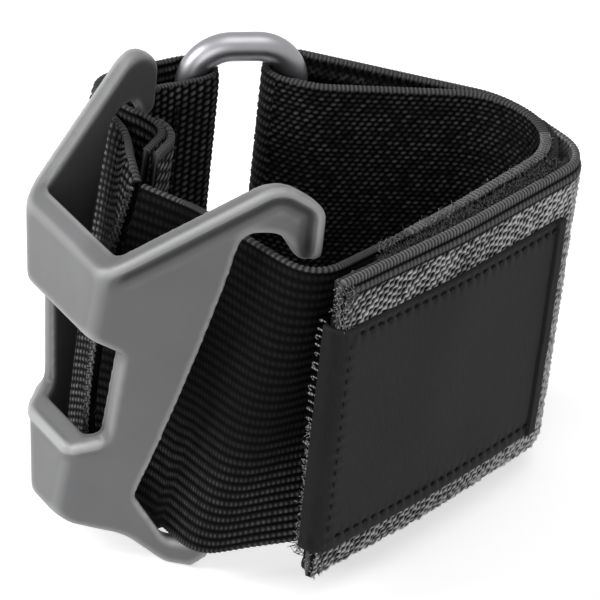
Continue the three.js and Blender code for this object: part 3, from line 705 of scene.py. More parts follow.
def bead_rows(u, w, pitch, slant):
    """Staggered rows of yarn beads along the webbing, from 0 between them to 1 on their tops."""
    line, y = cells(w / pitch)
    cell, x = cells(u / pitch + 0.5 * (line % 2) + slant * y)
    dome = np.sqrt(np.clip(1 - 0.9 * (4 * x * x + 4 * y * y), 0, 1))
    return dome * (0.75 + 0.25 * chance(cell, line))


def corded_rows(u, w):
    """Cords along the webbing with fine slanted yarn beads on each, from 0 in the lines between to 1."""
    line, y = cells(w / CORD_PITCH)
    run = u / BEAD_PITCH + 0.7 * y + 0.37 * line
    cord = np.clip(1 - (y / 0.4) ** 2, 0, 1)
    bead = ribs_along(run, 1)
    return cord * (0.35 + 0.65 * bead) * (0.75 + 0.25 * chance(np.floor(run), line))


def near_rows(u, w):
    """The cords outside, paler towards the webbing's lower edge and brightened by painted light further along
    the run, towards the flap.
    """
    # Painted light: the factor along the run brightens the cords towards the flap.
    lift_with_painted_light = (0.42 + 0.46 * ease((26 - w) / 18)) * (0.85 + 0.45 * ease((u - 24) / 18))
    return corded_rows(u, w) * lift_with_painted_light


def dotted_rows(u, w):
    """Open staggered knots over a dark ground, as on the wrist side, darkened by painted shade up to the
    right bend.
    """
    line, y = cells(w / DOT_RISE)
    cell, x = cells(u / DOT_RUN + 0.5 * (line % 2) + 0.3 * y)
    x = x + 0.16 * (chance(line, cell) - 0.5)
    knot = np.sqrt(np.clip(1 - (x / 0.44) ** 2 - (y / 0.46) ** 2, 0, 1))
    # Painted shade: the last factor darkens the knots up to and just past the right bend.
    return knot * (0.45 + 0.37 * chance(cell, line)) * (0.65 + 0.35 * ease((u - RIGHT_RUN - 6) / 24))


def knotted_rows(u, w):
    """Close slanted knots, as on the ring loop's wrist side."""
    line, x = cells(u / KNOT_RUN)
    cell, y = cells(w / KNOT_RISE + 0.5 * (line % 2))
    knot = np.sqrt(np.clip(1 - ((x + 0.35 * y) / 0.42) ** 2 - (y / 0.44) ** 2, 0, 1))
    return knot * (0.72 + 0.28 * chance(line, cell))


def webbing_relief(outer, inner, edge_tone=0.62):
    """Relief of a webbing from the pattern on each face, with whipped selvedges of a given paleness."""
    def relief(u, w, out, columns):
        face = np.where(out > 0, outer(u, w), inner(u, w))
        whip = ribs_along(u, WHIP_PITCH)
        edge = 1 - ease((edge_distance(w, columns) - 0.35) / 0.35)
        height = (face * 0.34 - 0.22) * (1 - edge) + (whip * 0.14 - 0.12) * edge
        return height, 0.75 * face * (1 - edge) + edge_tone * (0.45 + 0.55 * whip) * edge
    return relief


def pressed(relief, start, end):
    """A relief pressed flat from one run to another, on the side that the ring's wire bears on."""
    def flattened(u, w, out, columns):
        height, tone = relief(u, w, out, columns)
        beyond = np.maximum(start - u, u - end)
        near = np.clip(out, 0, 1) * (1 - ease(beyond / 2))
        return height * (1 - near) - WIRE_PRESS * near, tone
    return flattened


def net_threads(length, w):
    """Pale wavering threads that climb to the right over dark ground."""
    c, s = math.cos(NET_ANGLE), math.sin(NET_ANGLE)
    t = (length * c + w * s) / NET_STITCH
    q = (w * c - length * s) / NET_PITCH
    line, across = cells(q + 0.1 * np.sin(1.9 * t + 0.5 * w) + 0.06 * np.sin(0.7 * length))
    stitch = t + chance(line, 3)
    body = ridge(across + 0.1 * np.sin(2 * np.pi * stitch), 0, 0.28)
    knuckle = 0.78 + 0.22 * np.cos(2 * np.pi * stitch)
    return body * knuckle * (0.55 + 0.45 * chance(np.floor(stitch), line))


def flap_relief(u, w, out, columns):
    """Ribbed upper selvedge, a soft roll under it, then the net, made paler towards the bend by painted
    light; plain twill behind.
    """
    below = columns["high"] - w
    ribs = ribs_along(u, 0.68)
    # Painted light: brightens the net along the run towards the bend.
    lift_with_painted_light = 1 + 0.45 * ease((END_RUN - 26 - u) / 22)
    lumps = 0.5 + 0.5 * np.cos(2 * np.pi * u / 0.86 + 1.4 * np.sin(0.9 * u))
    selvedge = ridge(below, 0.3, 0.75)
    roll = ridge(below, 1.85, 0.6)
    net = net_threads(-u, w)
    inner = ease((below - 2.5) / 0.4)
    height = 0.2 * selvedge * (0.4 + 0.6 * ribs) + 0.24 * roll * (0.7 + 0.3 * lumps)
    height += inner * (0.55 * net - 0.2)
    tone = selvedge * (0.14 + 0.3 * ribs) + roll * (0.17 + 0.2 * lumps) + inner * net * lift_with_painted_light
    twill = bead_rows(u, w, 0.9, 0.5)
    outer = out < 0.5
    return np.where(outer, height, 0.15 * twill), np.where(outer, np.clip(tone, 0, 1), 0.5 * twill)


def tape_relief(u, w, out, columns):
    """Ribbed selvedges on a flat woven ground."""
    ribs = ribs_along(u, 0.7)
    selvedge = ridge(edge_distance(w, columns), 0.6, 0.9)
    ground = bead_rows(u, w, 0.8, 0.0)
    tone = selvedge * (0.45 + 0.55 * ribs) + 0.3 * ground
    return 0.25 * selvedge * (0.5 + 0.5 * ribs) + 0.1 * ground, np.clip(tone, 0, 1)


def facing_relief(u, w, out, columns):
    """Fine grey mesh with a ribbed upper selvedge."""
    mesh = knotted_rows(0.75 * u + 0.35 * w, 0.8 * w)
    below = columns["high"] - w
    ribs = ribs_along(u, 0.62)
    selvedge = ridge(below, 0.6, 0.8)
    inner = ease((below - 1.2) / 0.4)
    height = 0.2 * selvedge * (0.6 + 0.4 * ribs) + inner * 0.24 * mesh
    return height, selvedge * (0.35 + 0.4 * ribs) + inner * mesh


def web_columns(pitch_out, pitch_in, hidden=(0, 0), thinned=0.0):
    return section_columns(0, WEB_WIDTH, WEB_THICK, pitch_out, pitch_in, hidden, thinned)


outside_columns = web_columns(0.2, 0.5, thinned=0.25)
inside_columns = web_columns(0.6, 0.19)
both_columns = web_columns(0.26, 0.24, thinned=0.3)
net_columns = web_columns(0.8, 0.16, thinned=0.5)
UNDER_LABEL = (LABEL_RISE + 1.5, LABEL_RISE + LABEL_HEIGHT - 1.2)
flap_columns = web_columns(0.8, 0.14, UNDER_LABEL, 0.5)
LOOP_TURN_RUN = ring_station[first_of(4)]
LOOP_TURN_END = ring_station[first_of(6)]
near_relief = webbing_relief(near_rows, dotted_rows)
side_relief = webbing_relief(corded_rows, dotted_rows, 0.85)
back_relief = pressed(webbing_relief(corded_rows, dotted_rows), RING_RUN, TURN_END_RUN)
tail_relief = pressed(webbing_relief(dotted_rows, corded_rows), RING_RUN, TURN_END_RUN)
loop_relief = pressed(webbing_relief(corded_rows, knotted_rows), LOOP_TURN_RUN, LOOP_TURN_END)
CREST_SPLIT = 20
SIDE_SPLIT = FRONT_RUN + 6
BACK_SPLIT = RIGHT_RUN + 9
TAIL_SPLIT = RING_RUN + 1
NET_FROM = HINGE_RUN - NET_REACH
BAND_PARTS = {
    "band_crest": ((0, CREST_SPLIT), outside_columns, 0.17, near_relief),
    "band_near": ((CREST_SPLIT, SIDE_SPLIT), outside_columns, 0.17, near_relief),
    "band_side": ((SIDE_SPLIT, BACK_SPLIT), inside_columns, 0.25, side_relief),
    "band_back": ((BACK_SPLIT, TAIL_SPLIT), inside_columns, 0.2, back_relief),
    "band_tail": ((TAIL_SPLIT, NET_FROM), inside_columns, 0.26, tail_relief),
}
for part, (span, columns, step, relief) in BAND_PARTS.items():
    piece = woven_piece(part, band, span, columns, step, relief, WEBBING, "strap")
    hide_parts("main_band")
tail_net = woven_piece("tail_net", band, (NET_FROM, HINGE_RUN), net_columns, 0.17, flap_relief, FLAP_NET,
                       "strap")
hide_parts("main_band")

RING_SPLIT = ring_station[first_of(5)]
RING_LOOP_PARTS = {
    "ring_loop_outer": (0, RING_SPLIT),
    "ring_loop_return": (RING_SPLIT, ring_loop.length),
}
for part, span in RING_LOOP_PARTS.items():
    piece = woven_piece(part, ring_loop, span, both_columns, 0.22, loop_relief, WEBBING, "strap")
    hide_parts("ring_loop_band")

# The flap, its hook tape and the loop tape that it closes on
NET_SPLIT = END_RUN - LABEL_LENGTH + 1
FLAP_PARTS = {
    "flap_bend": ((HINGE_RUN, NET_SPLIT), net_columns),
    "flap_net": ((NET_SPLIT, END_RUN), flap_columns),
}
for part, (span, columns) in FLAP_PARTS.items():
    piece = woven_piece(part, band, span, columns, 0.16, flap_relief, FLAP_NET, "flap")
    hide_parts("flap_web")


def sewn_offset(thick):
    """From the webbing's middle to the middle of something sewn on it."""
    return WEB_THICK / 2 + SEWN_GAP + thick / 2


TAPE_TOP = WEB_WIDTH - 1.0
TAPE_PITCH = 0.4
HOOK_OFFSET = sewn_offset(HOOK_TAPE_THICK)
hook_span = (HINGE_RUN + 0.5, END_RUN - TAPE_INSET)
hook_columns = section_columns(TAPE_INSET, TAPE_TOP, HOOK_TAPE_THICK, TAPE_PITCH, TAPE_PITCH)
hook_piece = woven_piece("hook_tape_ground", band, hook_span, hook_columns, 0.3, tape_relief,
                         HOOK_TAPE, "flap", HOOK_OFFSET)
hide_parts("hook_tape")

LOOP_OFFSET = sewn_offset(LOOP_TAPE_THICK)
LOOP_END_RUN = web_station[first_of(5) + ARC_STEPS // 2]
loop_columns = section_columns(TAPE_INSET, TAPE_TOP, LOOP_TAPE_THICK, TAPE_PITCH, TAPE_PITCH)
loop_piece = woven_piece("loop_tape_ground", band, (FRONT_RUN, LOOP_END_RUN), loop_columns, 0.25, tape_relief,
                         TAPE_PILE, "strap", LOOP_OFFSET)
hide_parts("loop_tape")

FACING_TOP = WEB_WIDTH - TAPE_INSET
facing_span = (ring_loop.length - FACING_LENGTH, ring_loop.length - TAPE_INSET)
facing_columns = section_columns(FACING_TOP - FACING_HEIGHT, FACING_TOP, FACING_THICK, 0.5, 0.18)
facing_piece = woven_piece("facing_twill", ring_loop, facing_span, facing_columns, 0.15, facing_relief,
                           FACING, "strap", -sewn_offset(FACING_THICK))
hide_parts("facing_tape")

# The label: leather laid along the flap and turned in over its free end
LABEL_OFFSET = -sewn_offset(LABEL_THICK)
LABEL_FROM = END_RUN - LABEL_LENGTH
LABEL_LOW = LABEL_RISE
LABEL_HIGH = LABEL_RISE + LABEL_HEIGHT
STITCH_TOP = LABEL_HIGH - 1.25
STITCH_FOOT = LABEL_LOW + 2.0
BORDER_WIDE = 1.7
STITCH_RIGHT = LABEL_FROM + BORDER_WIDE + 0.8
STITCH_LEFT = END_RUN - 1.2
STITCH_PITCH = 1.92


def label_surface():
    inner = band.run >= LABEL_FROM
    face = band.lines[2][inner]
    slope = band.slopes[2][inner]
    side = np.stack([slope[:, 1], -slope[:, 0]], axis=1)
    side /= np.hypot(*side.T)[:, None]
    face = face + side * LABEL_OFFSET
    ahead = unit(slope[-1])
    corner = face[-1] + ahead * (SEWN_GAP + LABEL_THICK / 2)
    end = corner + right_of(ahead) * LABEL_WRAP
    flat = -int(LABEL_WRAP_RADIUS / LINE_STEP) - 1
    wrap = rounded_route([(face[flat], 0), (corner, LABEL_WRAP_RADIUS), (end, 0)])
    line = np.concatenate([face[:flat], wrap])
    total = runs(line)
    flap_run = np.minimum(total + LABEL_FROM, END_RUN) - HINGE_RUN
    lifts = (total, FLAP_TILT * flap_run)
    return WebSurface([line, line, line], BAND_LIFT - FLAP_DROP, WEB_WIDTH, lifts, softness=0.3)


label_skin = label_surface()


def label_relief(u, w, out, columns):
    """Puckers where the thread pulls the leather down, a folded border on the right and rounded edges."""
    run = u + LABEL_FROM
    height = 0.05 * np.sin(0.21 * run + 0.13 * w) + 0.03 * np.sin(0.5 * w - 0.3 * run)
    sewn = ease((run - STITCH_RIGHT + 1.2) / 1.0)
    rows = ((w - STITCH_TOP, run, 1), (w - STITCH_FOOT, run, 1), (run - STITCH_LEFT, w, 0.5))
    for across, along, pull_share in rows:
        phase = np.cos(2 * np.pi * (along - STITCH_RIGHT) / STITCH_PITCH)
        pull = np.exp(-(across / 0.5) ** 2) * sewn * pull_share
        crease = np.exp(-(across / 1.5) ** 2) * phase * sewn * pull_share
        height = height - 0.2 * pull * (0.5 + 0.5 * phase) - 0.05 * crease
    border = 1 - ease((u - BORDER_WIDE) / 0.35)
    crease = np.exp(-((u - BORDER_WIDE - 0.3) / 0.22) ** 2)
    wrapped = ease((run - END_RUN + 1.2) / 2.4)
    rim = np.exp(-(edge_distance(w, columns) / 0.5) ** 2)
    # Painted shade in the crease beside the border and over the turned-in end; the border is darker and the
    # upper and lower edges paler.
    tone = 0.62 + 0.2 * rim - 0.3 * border - 0.45 * crease - 0.4 * wrapped
    return np.where(out < 0, height + 0.3 * border - 0.12 * crease, 0), np.clip(tone, 0.05, 1)


label_columns = section_columns(LABEL_LOW, LABEL_HIGH, LABEL_THICK, 0.8, 0.24)
label_piece = woven_piece("label_leather_patch", label_skin, (0, label_skin.length), label_columns, 0.28,
                          label_relief, LEATHER, "flap")
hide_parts("label_patch")

# Threads, hooks and pile: sizes are length, width and height of a stitch
STITCH_LEAN = 0.12
LABEL_STITCH = (1.4, 0.48, 0.4)
LABEL_END_STITCH = (1.1, 0.34, 0.3)
BAND_STITCH = (1.7, 0.6, 0.45)
BAND_STITCH_PITCH = 2.4
BAND_STITCH_INSET = 4
LOOP_STITCH = (1.6, 0.6, 0.45)
LOOP_STITCH_PITCH = 2.3
STITCH_OFFSET = -(WEB_THICK / 2 + 0.12)
OVERLOCK_STEP = 0.5
OVERLOCK_SWING = 0.62
OVERLOCK_THREAD = 0.27
OVERLOCK_SPLIT = 35
HOOK_PITCH = 1.35
PILE_PITCH = 1.0
FIBRE_SHARES = (-0.1, 0.3, 0.55, 0.8, 1.0)


def stitch_bead(bm, place, along, out, size):
    """One stitch: a small pillow that lies along its row."""
    along = Vector(along).normalized()
    out = Vector(out)
    out = (out - along * out.dot(along)).normalized()
    across = out.cross(along)
    turn = Matrix((along, across, out)).transposed().to_4x4()
    shape = Matrix.Diagonal((size[0] / 2 * MM, size[1] / 2 * MM, size[2] / 2 * MM, 1))
    where = Matrix.Translation(Vector(row(place)))
    bmesh.ops.create_uvsphere(bm, u_segments=6, v_segments=5, radius=1, matrix=where @ turn @ shape)


def stitch_row(bm, surface, spots, offset, size):
    """Stitches at (run, height, upward) spots on a surface, lying along the run or up it."""
    for u, w, upward in spots:
        here = np.array([u, u + TANGENT_STEP, u]), np.array([w, w, w + TANGENT_STEP])
        place, side, up = surface.at(*here)
        along, slant = place[1] - place[0], place[2] - place[0]
        if upward:
            along, slant = slant, along
        out = side[0] * np.sign(offset)
        stitch_bead(bm, place[0] + side[0] * offset, along + slant * STITCH_LEAN, out, size)


def stitches(name, node, body, *rows):
    """One piece of black thread from rows of surface, spots, offset and stitch size."""
    bm = bmesh.new()
    for surface, spots, offset, size in rows:
        stitch_row(bm, surface, spots, offset, size)
    smooth_faces(bm)
    piece = finish_piece(bm, name, STITCH_BLACK, body)
    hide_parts(node)


def drawn_out(bm, edges, way):
    """Draws a loop of edges out by a vector; gives the new end's verts and edges."""
    grown = bmesh.ops.extrude_edge_only(bm, edges=edges)["geom"]
    verts = [g for g in grown if isinstance(g, bmesh.types.BMVert)]
    bmesh.ops.translate(bm, verts=verts, vec=way)
    return verts, [g for g in grown if isinstance(g, bmesh.types.BMEdge)]


def thread_tube(bm, points, radius, sides=6):
    """A round thread pushed out from one circle along its points, in metres."""
    points = [Vector(p) for p in points]
    heading = (points[1] - points[0]).normalized()
    turn = heading.to_track_quat("Z", "Y").to_matrix().to_4x4()
    made = bmesh.ops.create_circle(bm, segments=sides, radius=radius, cap_ends=True,
                                   matrix=Matrix.Translation(points[0]) @ turn)
    edges = list({e for v in made["verts"] for e in v.link_edges})
    for here, there in zip(points, points[1:]):
        edges = drawn_out(bm, edges, there - here)[1]
    bmesh.ops.edgeloop_fill(bm, edges=edges)


def crest_overlock(name, low, high, material):
    """A whipped zigzag down part of the crest, on the side that faces the clip."""
    points = []
    for i, w in enumerate(np.arange(low, high, OVERLOCK_STEP)):
        x, y = crest_at(w / WEB_WIDTH)
        swing = OVERLOCK_SWING if i % 2 else -OVERLOCK_SWING
        points.append((x + swing, y - WEB_THICK / 2 - 0.5 - 0.15 * (i % 2), BAND_LIFT + w))
    bm = bmesh.new()
    thread_tube(bm, row(points), OVERLOCK_THREAD * MM)
    facing_out(bm)
    piece = finish_piece(bm, name, material, "strap")
    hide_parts("crest_seam")


def small_shape(points, radius, sides):
    """One hook or pile loop at the origin, to be repeated."""
    bm = bmesh.new()
    thread_tube(bm, [Vector(p) * MM for p in points], radius * MM, sides)
    facing_out(bm)
    return mesh_of(bm, "small_shape")


def scattered(name, surface, shape, spots, offset, material, body, ahead=0.0):
    """A small shape set on a surface at (run, height, turn, size) spots, moved ahead along the run."""
    spots = np.array(spots)
    place, side, up = surface.at(spots[:, 0], spots[:, 1])
    place += np.cross(up, side) * ahead
    bm = bmesh.new()
    for p, n, v, (_, _, angle, size) in zip(row(place + side * offset), side * np.sign(offset), up, spots):
        n, v = Vector(n), Vector(v)
        frame_turn = Matrix((v.cross(n), v, n)).transposed().to_4x4()
        pose = Matrix.Translation(p) @ frame_turn @ Matrix.Rotation(angle, 4, "Z") @ Matrix.Scale(size, 4)
        shape.transform(pose)
        bm.from_mesh(shape)
        shape.transform(pose.inverted())
    bpy.data.meshes.remove(shape)
    return finish_piece(bm, name, material, body)


def field(run_from, run_to, low, high, pitch):
    """Spots in staggered rows, each shifted, turned and sized a little differently."""
    spots = []
    shift = 0.3 * pitch
    for i, u in enumerate(np.arange(run_from, run_to, pitch)):
        for j, w in enumerate(np.arange(low + (0.5 * pitch if i % 2 else 0), high, pitch)):
            a, b = chance(i, j), chance(j + 7, i + 3)
            spots.append((u + shift * (a - 0.5), w + shift * (b - 0.5), 6.283 * a, 0.75 + 0.5 * b))
    return spots


label_runs = np.arange(STITCH_RIGHT, STITCH_LEFT - 0.8, STITCH_PITCH) - LABEL_FROM
label_heights = np.arange(STITCH_FOOT + STITCH_PITCH, STITCH_TOP - 0.5, STITCH_PITCH)
long_spots = [(u, w, False) for u in label_runs for w in (STITCH_TOP, STITCH_FOOT)]
end_spots = [(STITCH_LEFT - LABEL_FROM, w, True) for w in label_heights]
stitches("label_stitches", "label_thread", "flap",
         (label_skin, long_spots, -(LABEL_THICK / 2 + 0.02), LABEL_STITCH),
         (label_skin, end_spots, -(LABEL_THICK / 2 - 0.05), LABEL_END_STITCH))
for part, node, height in (
    ("band_stitches_upper", "loop_thread_upper", WEB_WIDTH - BAND_STITCH_INSET),
    ("band_stitches_lower", "loop_thread_lower", BAND_STITCH_INSET),
):
    band_spots = [(u, height, False) for u in np.arange(FRONT_RUN + 0.8, LOOP_END_RUN, BAND_STITCH_PITCH)]
    stitches(part, node, "strap", (band, band_spots, STITCH_OFFSET, BAND_STITCH))
loop_seam = ring_station[first_of(6) + ARC_STEPS] - 0.2
loop_spots = [(loop_seam, w, True) for w in np.arange(4, WEB_WIDTH - 3.5, LOOP_STITCH_PITCH)]
stitches("ring_loop_stitches", "ring_loop_thread", "strap",
         (ring_loop, loop_spots, STITCH_OFFSET, LOOP_STITCH))
crest_overlock("crest_overlock_pale", 0, OVERLOCK_SPLIT, SEAM_PALE)
crest_overlock("crest_overlock_dim", OVERLOCK_SPLIT, WEB_WIDTH, SEAM_DIM)

HOOK_SHAPE = [(0, 0, -0.2), (0, 0, 0.55), (0.1, 0, 0.85), (0.32, 0, 0.98), (0.52, 0, 0.85), (0.56, 0, 0.62)]
EDGE_HOOK_SHAPE = [
    (0, 0, -0.2), (0.02, 0, 0.75), (0.12, 0, 1.2),
    (0.38, 0, 1.4), (0.62, 0, 1.25), (0.66, 0, 0.95),
]
PILE_SHAPE = [
    (-0.32, 0, -0.1), (-0.36, 0.05, 0.35), (-0.15, 0.1, 0.62),
    (0.15, 0.05, 0.6), (0.36, -0.05, 0.3), (0.3, 0, -0.1),
]
hook_spots = field(HINGE_RUN + 2, END_RUN - 2.2, 2, WEB_WIDTH - 1.5, HOOK_PITCH)
scattered("hook_field", band, small_shape(HOOK_SHAPE, 0.1, 4), hook_spots, HOOK_OFFSET + HOOK_TAPE_THICK / 2,
          HOOK_MONO, "flap")
edge_spots = [(END_RUN, w + 0.5 * chance(i, 2), 3.4 + 1.2 * chance(i), 0.85 + 0.5 * chance(i, 5))
              for i, w in enumerate(np.arange(18, LABEL_HIGH, HOOK_PITCH))]
scattered("edge_hooks", band, small_shape(EDGE_HOOK_SHAPE, 0.11, 5), edge_spots, HOOK_OFFSET + 0.3,
          HOOK_MONO, "flap", ahead=0.6)
pile_spots = field(FRONT_RUN + 0.6, LOOP_END_RUN - 0.5, 2, WEB_WIDTH - 1.6, PILE_PITCH)
scattered("pile_loops", band, small_shape(PILE_SHAPE, 0.11, 3), pile_spots, LOOP_OFFSET + LOOP_TAPE_THICK / 2,
          PILE_YARN, "strap")


def loose_fibres(name, roots, offset, lengths, radius, material, body, slot):
    """Thin wandering fibres of the band from roots of run, height and shares along the run, up and out."""
    bm = bmesh.new()
    for i, (u, w, along, rise, out) in enumerate(roots):
        place, side, up = band.at(np.array([u, u + TANGENT_STEP]), np.array([w, w]))
        ahead = (place[1] - place[0]) / TANGENT_STEP
        wander = np.array([chance(i, 1), chance(i, 2), chance(i, 3)]) - 0.5
        reach = lengths[0] + (lengths[1] - lengths[0]) * chance(i, 4)
        shift = offset[0] + (offset[1] - offset[0]) * chance(i, 6)
        heading = ahead * along + up[0] * rise + side[0] * out + 0.9 * wander
        heading /= np.linalg.norm(heading)
        curl = np.cross(heading, wander)
        root = place[0] + side[0] * shift
        points = [root + heading * reach * k + curl * reach * k * (2.6 * k - 0.8) for k in FIBRE_SHARES]
        thread_tube(bm, row(points), radius * MM, 3)
    facing_out(bm)
    return finish_piece(bm, name, material, body)


# Frayed yarn on the flap's cut end, and fuzz along the edges of both tapes
FRAYED_ENDS = {
    "flap_fray_upper": (LABEL_HIGH, WEB_WIDTH - 1.2, (0.4, 1.2)),
    "flap_fray_lower": (0.3, LABEL_LOW, (0.25, 0.65)),
}
for part, (low, high, lengths) in FRAYED_ENDS.items():
    end_roots = [(END_RUN - 1.7 * chance(i, 8), w, 0.5, 0.1, -0.6 * chance(i, 9))
                 for i, w in enumerate(np.arange(low, high, 0.02))]
    loose_fibres(part, end_roots, (-1.0, 0.9), lengths, 0.08, FRAY_YARN, "flap", "flap_mesh")
edge_roots = [(u, WEB_WIDTH - 0.2, 0.9, 0.1, 0.2) for u in np.arange(FRONT_RUN + 1, RIGHT_RUN + 8, 0.06)]
hook_roots = [(END_RUN, w, 0.7, 0.0, 0.9) for w in np.arange(3, 26, 0.09)]
top_roots = [(u, WEB_WIDTH - 1.2, 0.2, 0.7, 0.3) for u in np.arange(FRONT_RUN + 0.5, RIGHT_RUN + 3, 0.022)]
front_roots = [(FRONT_RUN + 0.4, w, -1.0, 0.0, 0.6) for w in np.arange(1, WEB_WIDTH - 1, 0.16)]
FUZZ = {
    "band_edge_fuzz": (edge_roots, (-0.5, 0.9), (0.3, 0.7), 0.055, FRAY_YARN, "strap", "webbing_black"),
    "hook_tape_fray": (hook_roots, (1.2, 2.2), (0.5, 1.4), 0.07, FRAY_YARN, "flap", "tape_grey"),
    "loop_tape_fuzz": (top_roots, (1.0, 2.7), (0.6, 1.5), 0.07, PILE_YARN, "strap", "loop_pile"),
    "loop_tape_edge_fuzz": (front_roots, (1.0, 1.8), (0.4, 1.1), 0.06, FRAY_YARN, "strap", "loop_pile"),
}
for part, form in FUZZ.items():
    loose_fibres(part, *form)

# Adjuster ring: one circle spun round each corner and drawn out along each side
RING_WIRE_SEEN = 4.4
RING_CORNER_SEEN = 6.0
RING_SIDES = 28
RING_CORNER_STEPS = 14
RING_SIDE_STEPS = 4


def ring_wire():
    across = np.array(RIGHT_LEG) - LEFT_LEG
    span = np.hypot(*across)
    heading = Vector((*(across / span), 0))
    up = Vector((0, 0, 1))
    normal = heading.cross(up)
    origin = Vector(row((*LEFT_LEG, WIRE_DIAMETER / 2)))
    tall = RING_HEIGHT - WIRE_DIAMETER

    def spot(s, z):
        return origin + (heading * s + up * z) * MM

    turn = Matrix((heading, normal, up)).transposed().to_4x4()
    bm = bmesh.new()
    made = bmesh.ops.create_circle(bm, segments=RING_SIDES, radius=RING_WIRE_SEEN / 2 * MM,
                                   matrix=Matrix.Translation(spot(0, tall - RING_CORNER_SEEN)) @ turn)
    geom = made["verts"] + list({e for v in made["verts"] for e in v.link_edges})
    corners = [
        (RING_CORNER_SEEN, tall - RING_CORNER_SEEN, heading, span - 2 * RING_CORNER_SEEN),
        (span - RING_CORNER_SEEN, tall - RING_CORNER_SEEN, -up, tall - 2 * RING_CORNER_SEEN),
        (span - RING_CORNER_SEEN, RING_CORNER_SEEN, -heading, span - 2 * RING_CORNER_SEEN),
        (RING_CORNER_SEEN, RING_CORNER_SEEN, up, tall - 2 * RING_CORNER_SEEN),
    ]
    for s, z, away, reach in corners:
        geom = bmesh.ops.spin(bm, geom=geom, cent=spot(s, z), axis=normal, angle=-math.pi / 2,
                              steps=RING_CORNER_STEPS, use_merge=False)["geom_last"]
        edges = [g for g in geom if isinstance(g, bmesh.types.BMEdge)]
        for _ in range(RING_SIDE_STEPS):
            verts, edges = drawn_out(bm, edges, away * (reach / RING_SIDE_STEPS * MM))
        geom = verts + edges
    bmesh.ops.remove_doubles(bm, verts=bm.verts[:], dist=SKIN_WELD)
    facing_out(bm)
    piece = finish_piece(bm, "ring_wire", RING_STEEL, "ring")
    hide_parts("adjuster_ring")


ring_wire()

# Clip: the moulded shape remeshed fine and smoothed, with a rolled lip raised along its rim
CLIP_FINE_SKIN = 0.17
CLIP_EDGE_TURNS = 26
CLIP_SKIN = 0.32
LIP_PROUD = 0.4
LIP_WIDE = 0.9
LIP_FADE = 0.8
GROOVE_DEEP = 0.45
GROOVE_WIDE = 1.0
SILL_PROUD = 0.45
EVEN_FACE = 0.003
HOOK_CROWN_ROUND = 4.5
HOOK_BACK_ROUND = 3.6
SKIN_TURNS = 7
LIP_TURNS = 4
CROWN_TURNS = 6
SMOOTH_SHARE = 0.5
LEAST_PUSH = 1e-3


def clip_taper(z):
    return np.minimum((z - CLIP_FRONT_FOOT) / (CLIP_FRONT_TOP - CLIP_FRONT_FOOT), 1)


def clip_half(y, z):
    share = clip_taper(z)
    half = CLIP_FOOT_HALF + (CLIP_TOP_HALF - CLIP_FOOT_HALF) * share
    flare = CLIP_FOOT_FLARE + (CLIP_TOP_FLARE - CLIP_FOOT_FLARE) * share
    return half + (y - CLIP_FRONT_Y) * flare


def from_line(y, z, line):
    """Distance of side-view points from an open line."""
    best = np.full(len(y), 1e9)
    for (y0, z0), (y1, z1) in zip(line, line[1:]):
        dy, dz = y1 - y0, z1 - z0
        k = np.clip(((y - y0) * dy + (z - z0) * dz) / (dy * dy + dz * dz), 0, 1)
        best = np.minimum(best, np.hypot(y - y0 - k * dy, z - z0 - k * dz))
    return best


def clip_rim():
    tip = BAND_LIFT + WEB_WIDTH - HOOK_TIP_DEPTH
    return rounded_route([
        (np.array((CLIP_FRONT_Y, CLIP_FRONT_TOP)), 0),
        (np.array((HOOK_PEAK_Y, HOOK_TOP)), HOOK_CROWN_ROUND),
        (np.array((HOOK_TIP_BACK, HOOK_TOP - HOOK_FALL)), HOOK_BACK_ROUND),
        (np.array((HOOK_TIP_BACK, tip)), 0),
    ])


def soften(bm, turns):
    for _ in range(turns):
        bmesh.ops.smooth_vert(bm, verts=bm.verts[:], factor=SMOOTH_SHARE,
                              use_axis_x=True, use_axis_y=True, use_axis_z=True)
    bm.normal_update()


def hollow_and_crown(bm):
    """How far each vertex stands out of its neighbours: above 0 on edges, below 0 in grooves."""
    proud = []
    for v in bm.verts:
        around = sum((e.other_vert(v).co for e in v.link_edges), Vector()) / len(v.link_edges)
        proud.append((v.co - around).dot(v.normal) / MM)
    return np.array(proud)


def neighbour_mean(bm, values):
    """Each vertex's value averaged with those along its edges."""
    ends = np.array([(e.verts[0].index, e.verts[1].index) for e in bm.edges])
    total, count = values.copy(), np.ones(len(values))
    for here, there in (ends.T, ends.T[::-1]):
        np.add.at(total, here, values[there])
        np.add.at(count, here, 1)
    return total / count


def clip_skin():
    """The clip's solid with its edges rounded and its surface made of even small faces."""
    bm = bmesh.new()
    bm.from_mesh(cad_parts["tool_clip"].data)
    bmesh.ops.remove_doubles(bm, verts=bm.verts[:], dist=SKIN_WELD)
    blank = placed("clip_blank", mesh_of(bm, "clip_blank"))
    fine = blank.modifiers.new("fine_skin", "REMESH")
    fine.mode = "VOXEL"
    fine.voxel_size = CLIP_FINE_SKIN * MM
    rounded = blank.modifiers.new("rounded_edges", "SMOOTH")
    rounded.factor = SMOOTH_SHARE
    rounded.iterations = CLIP_EDGE_TURNS
    even = blank.modifiers.new("even_skin", "REMESH")
    even.mode = "VOXEL"
    even.voxel_size = CLIP_SKIN * MM
    skin = bpy.data.meshes.new_from_object(blank.evaluated_get(bpy.context.evaluated_depsgraph_get()))
    bpy.data.objects.remove(blank)
    bm = opened(skin)
    soften(bm, SKIN_TURNS)
    return bm


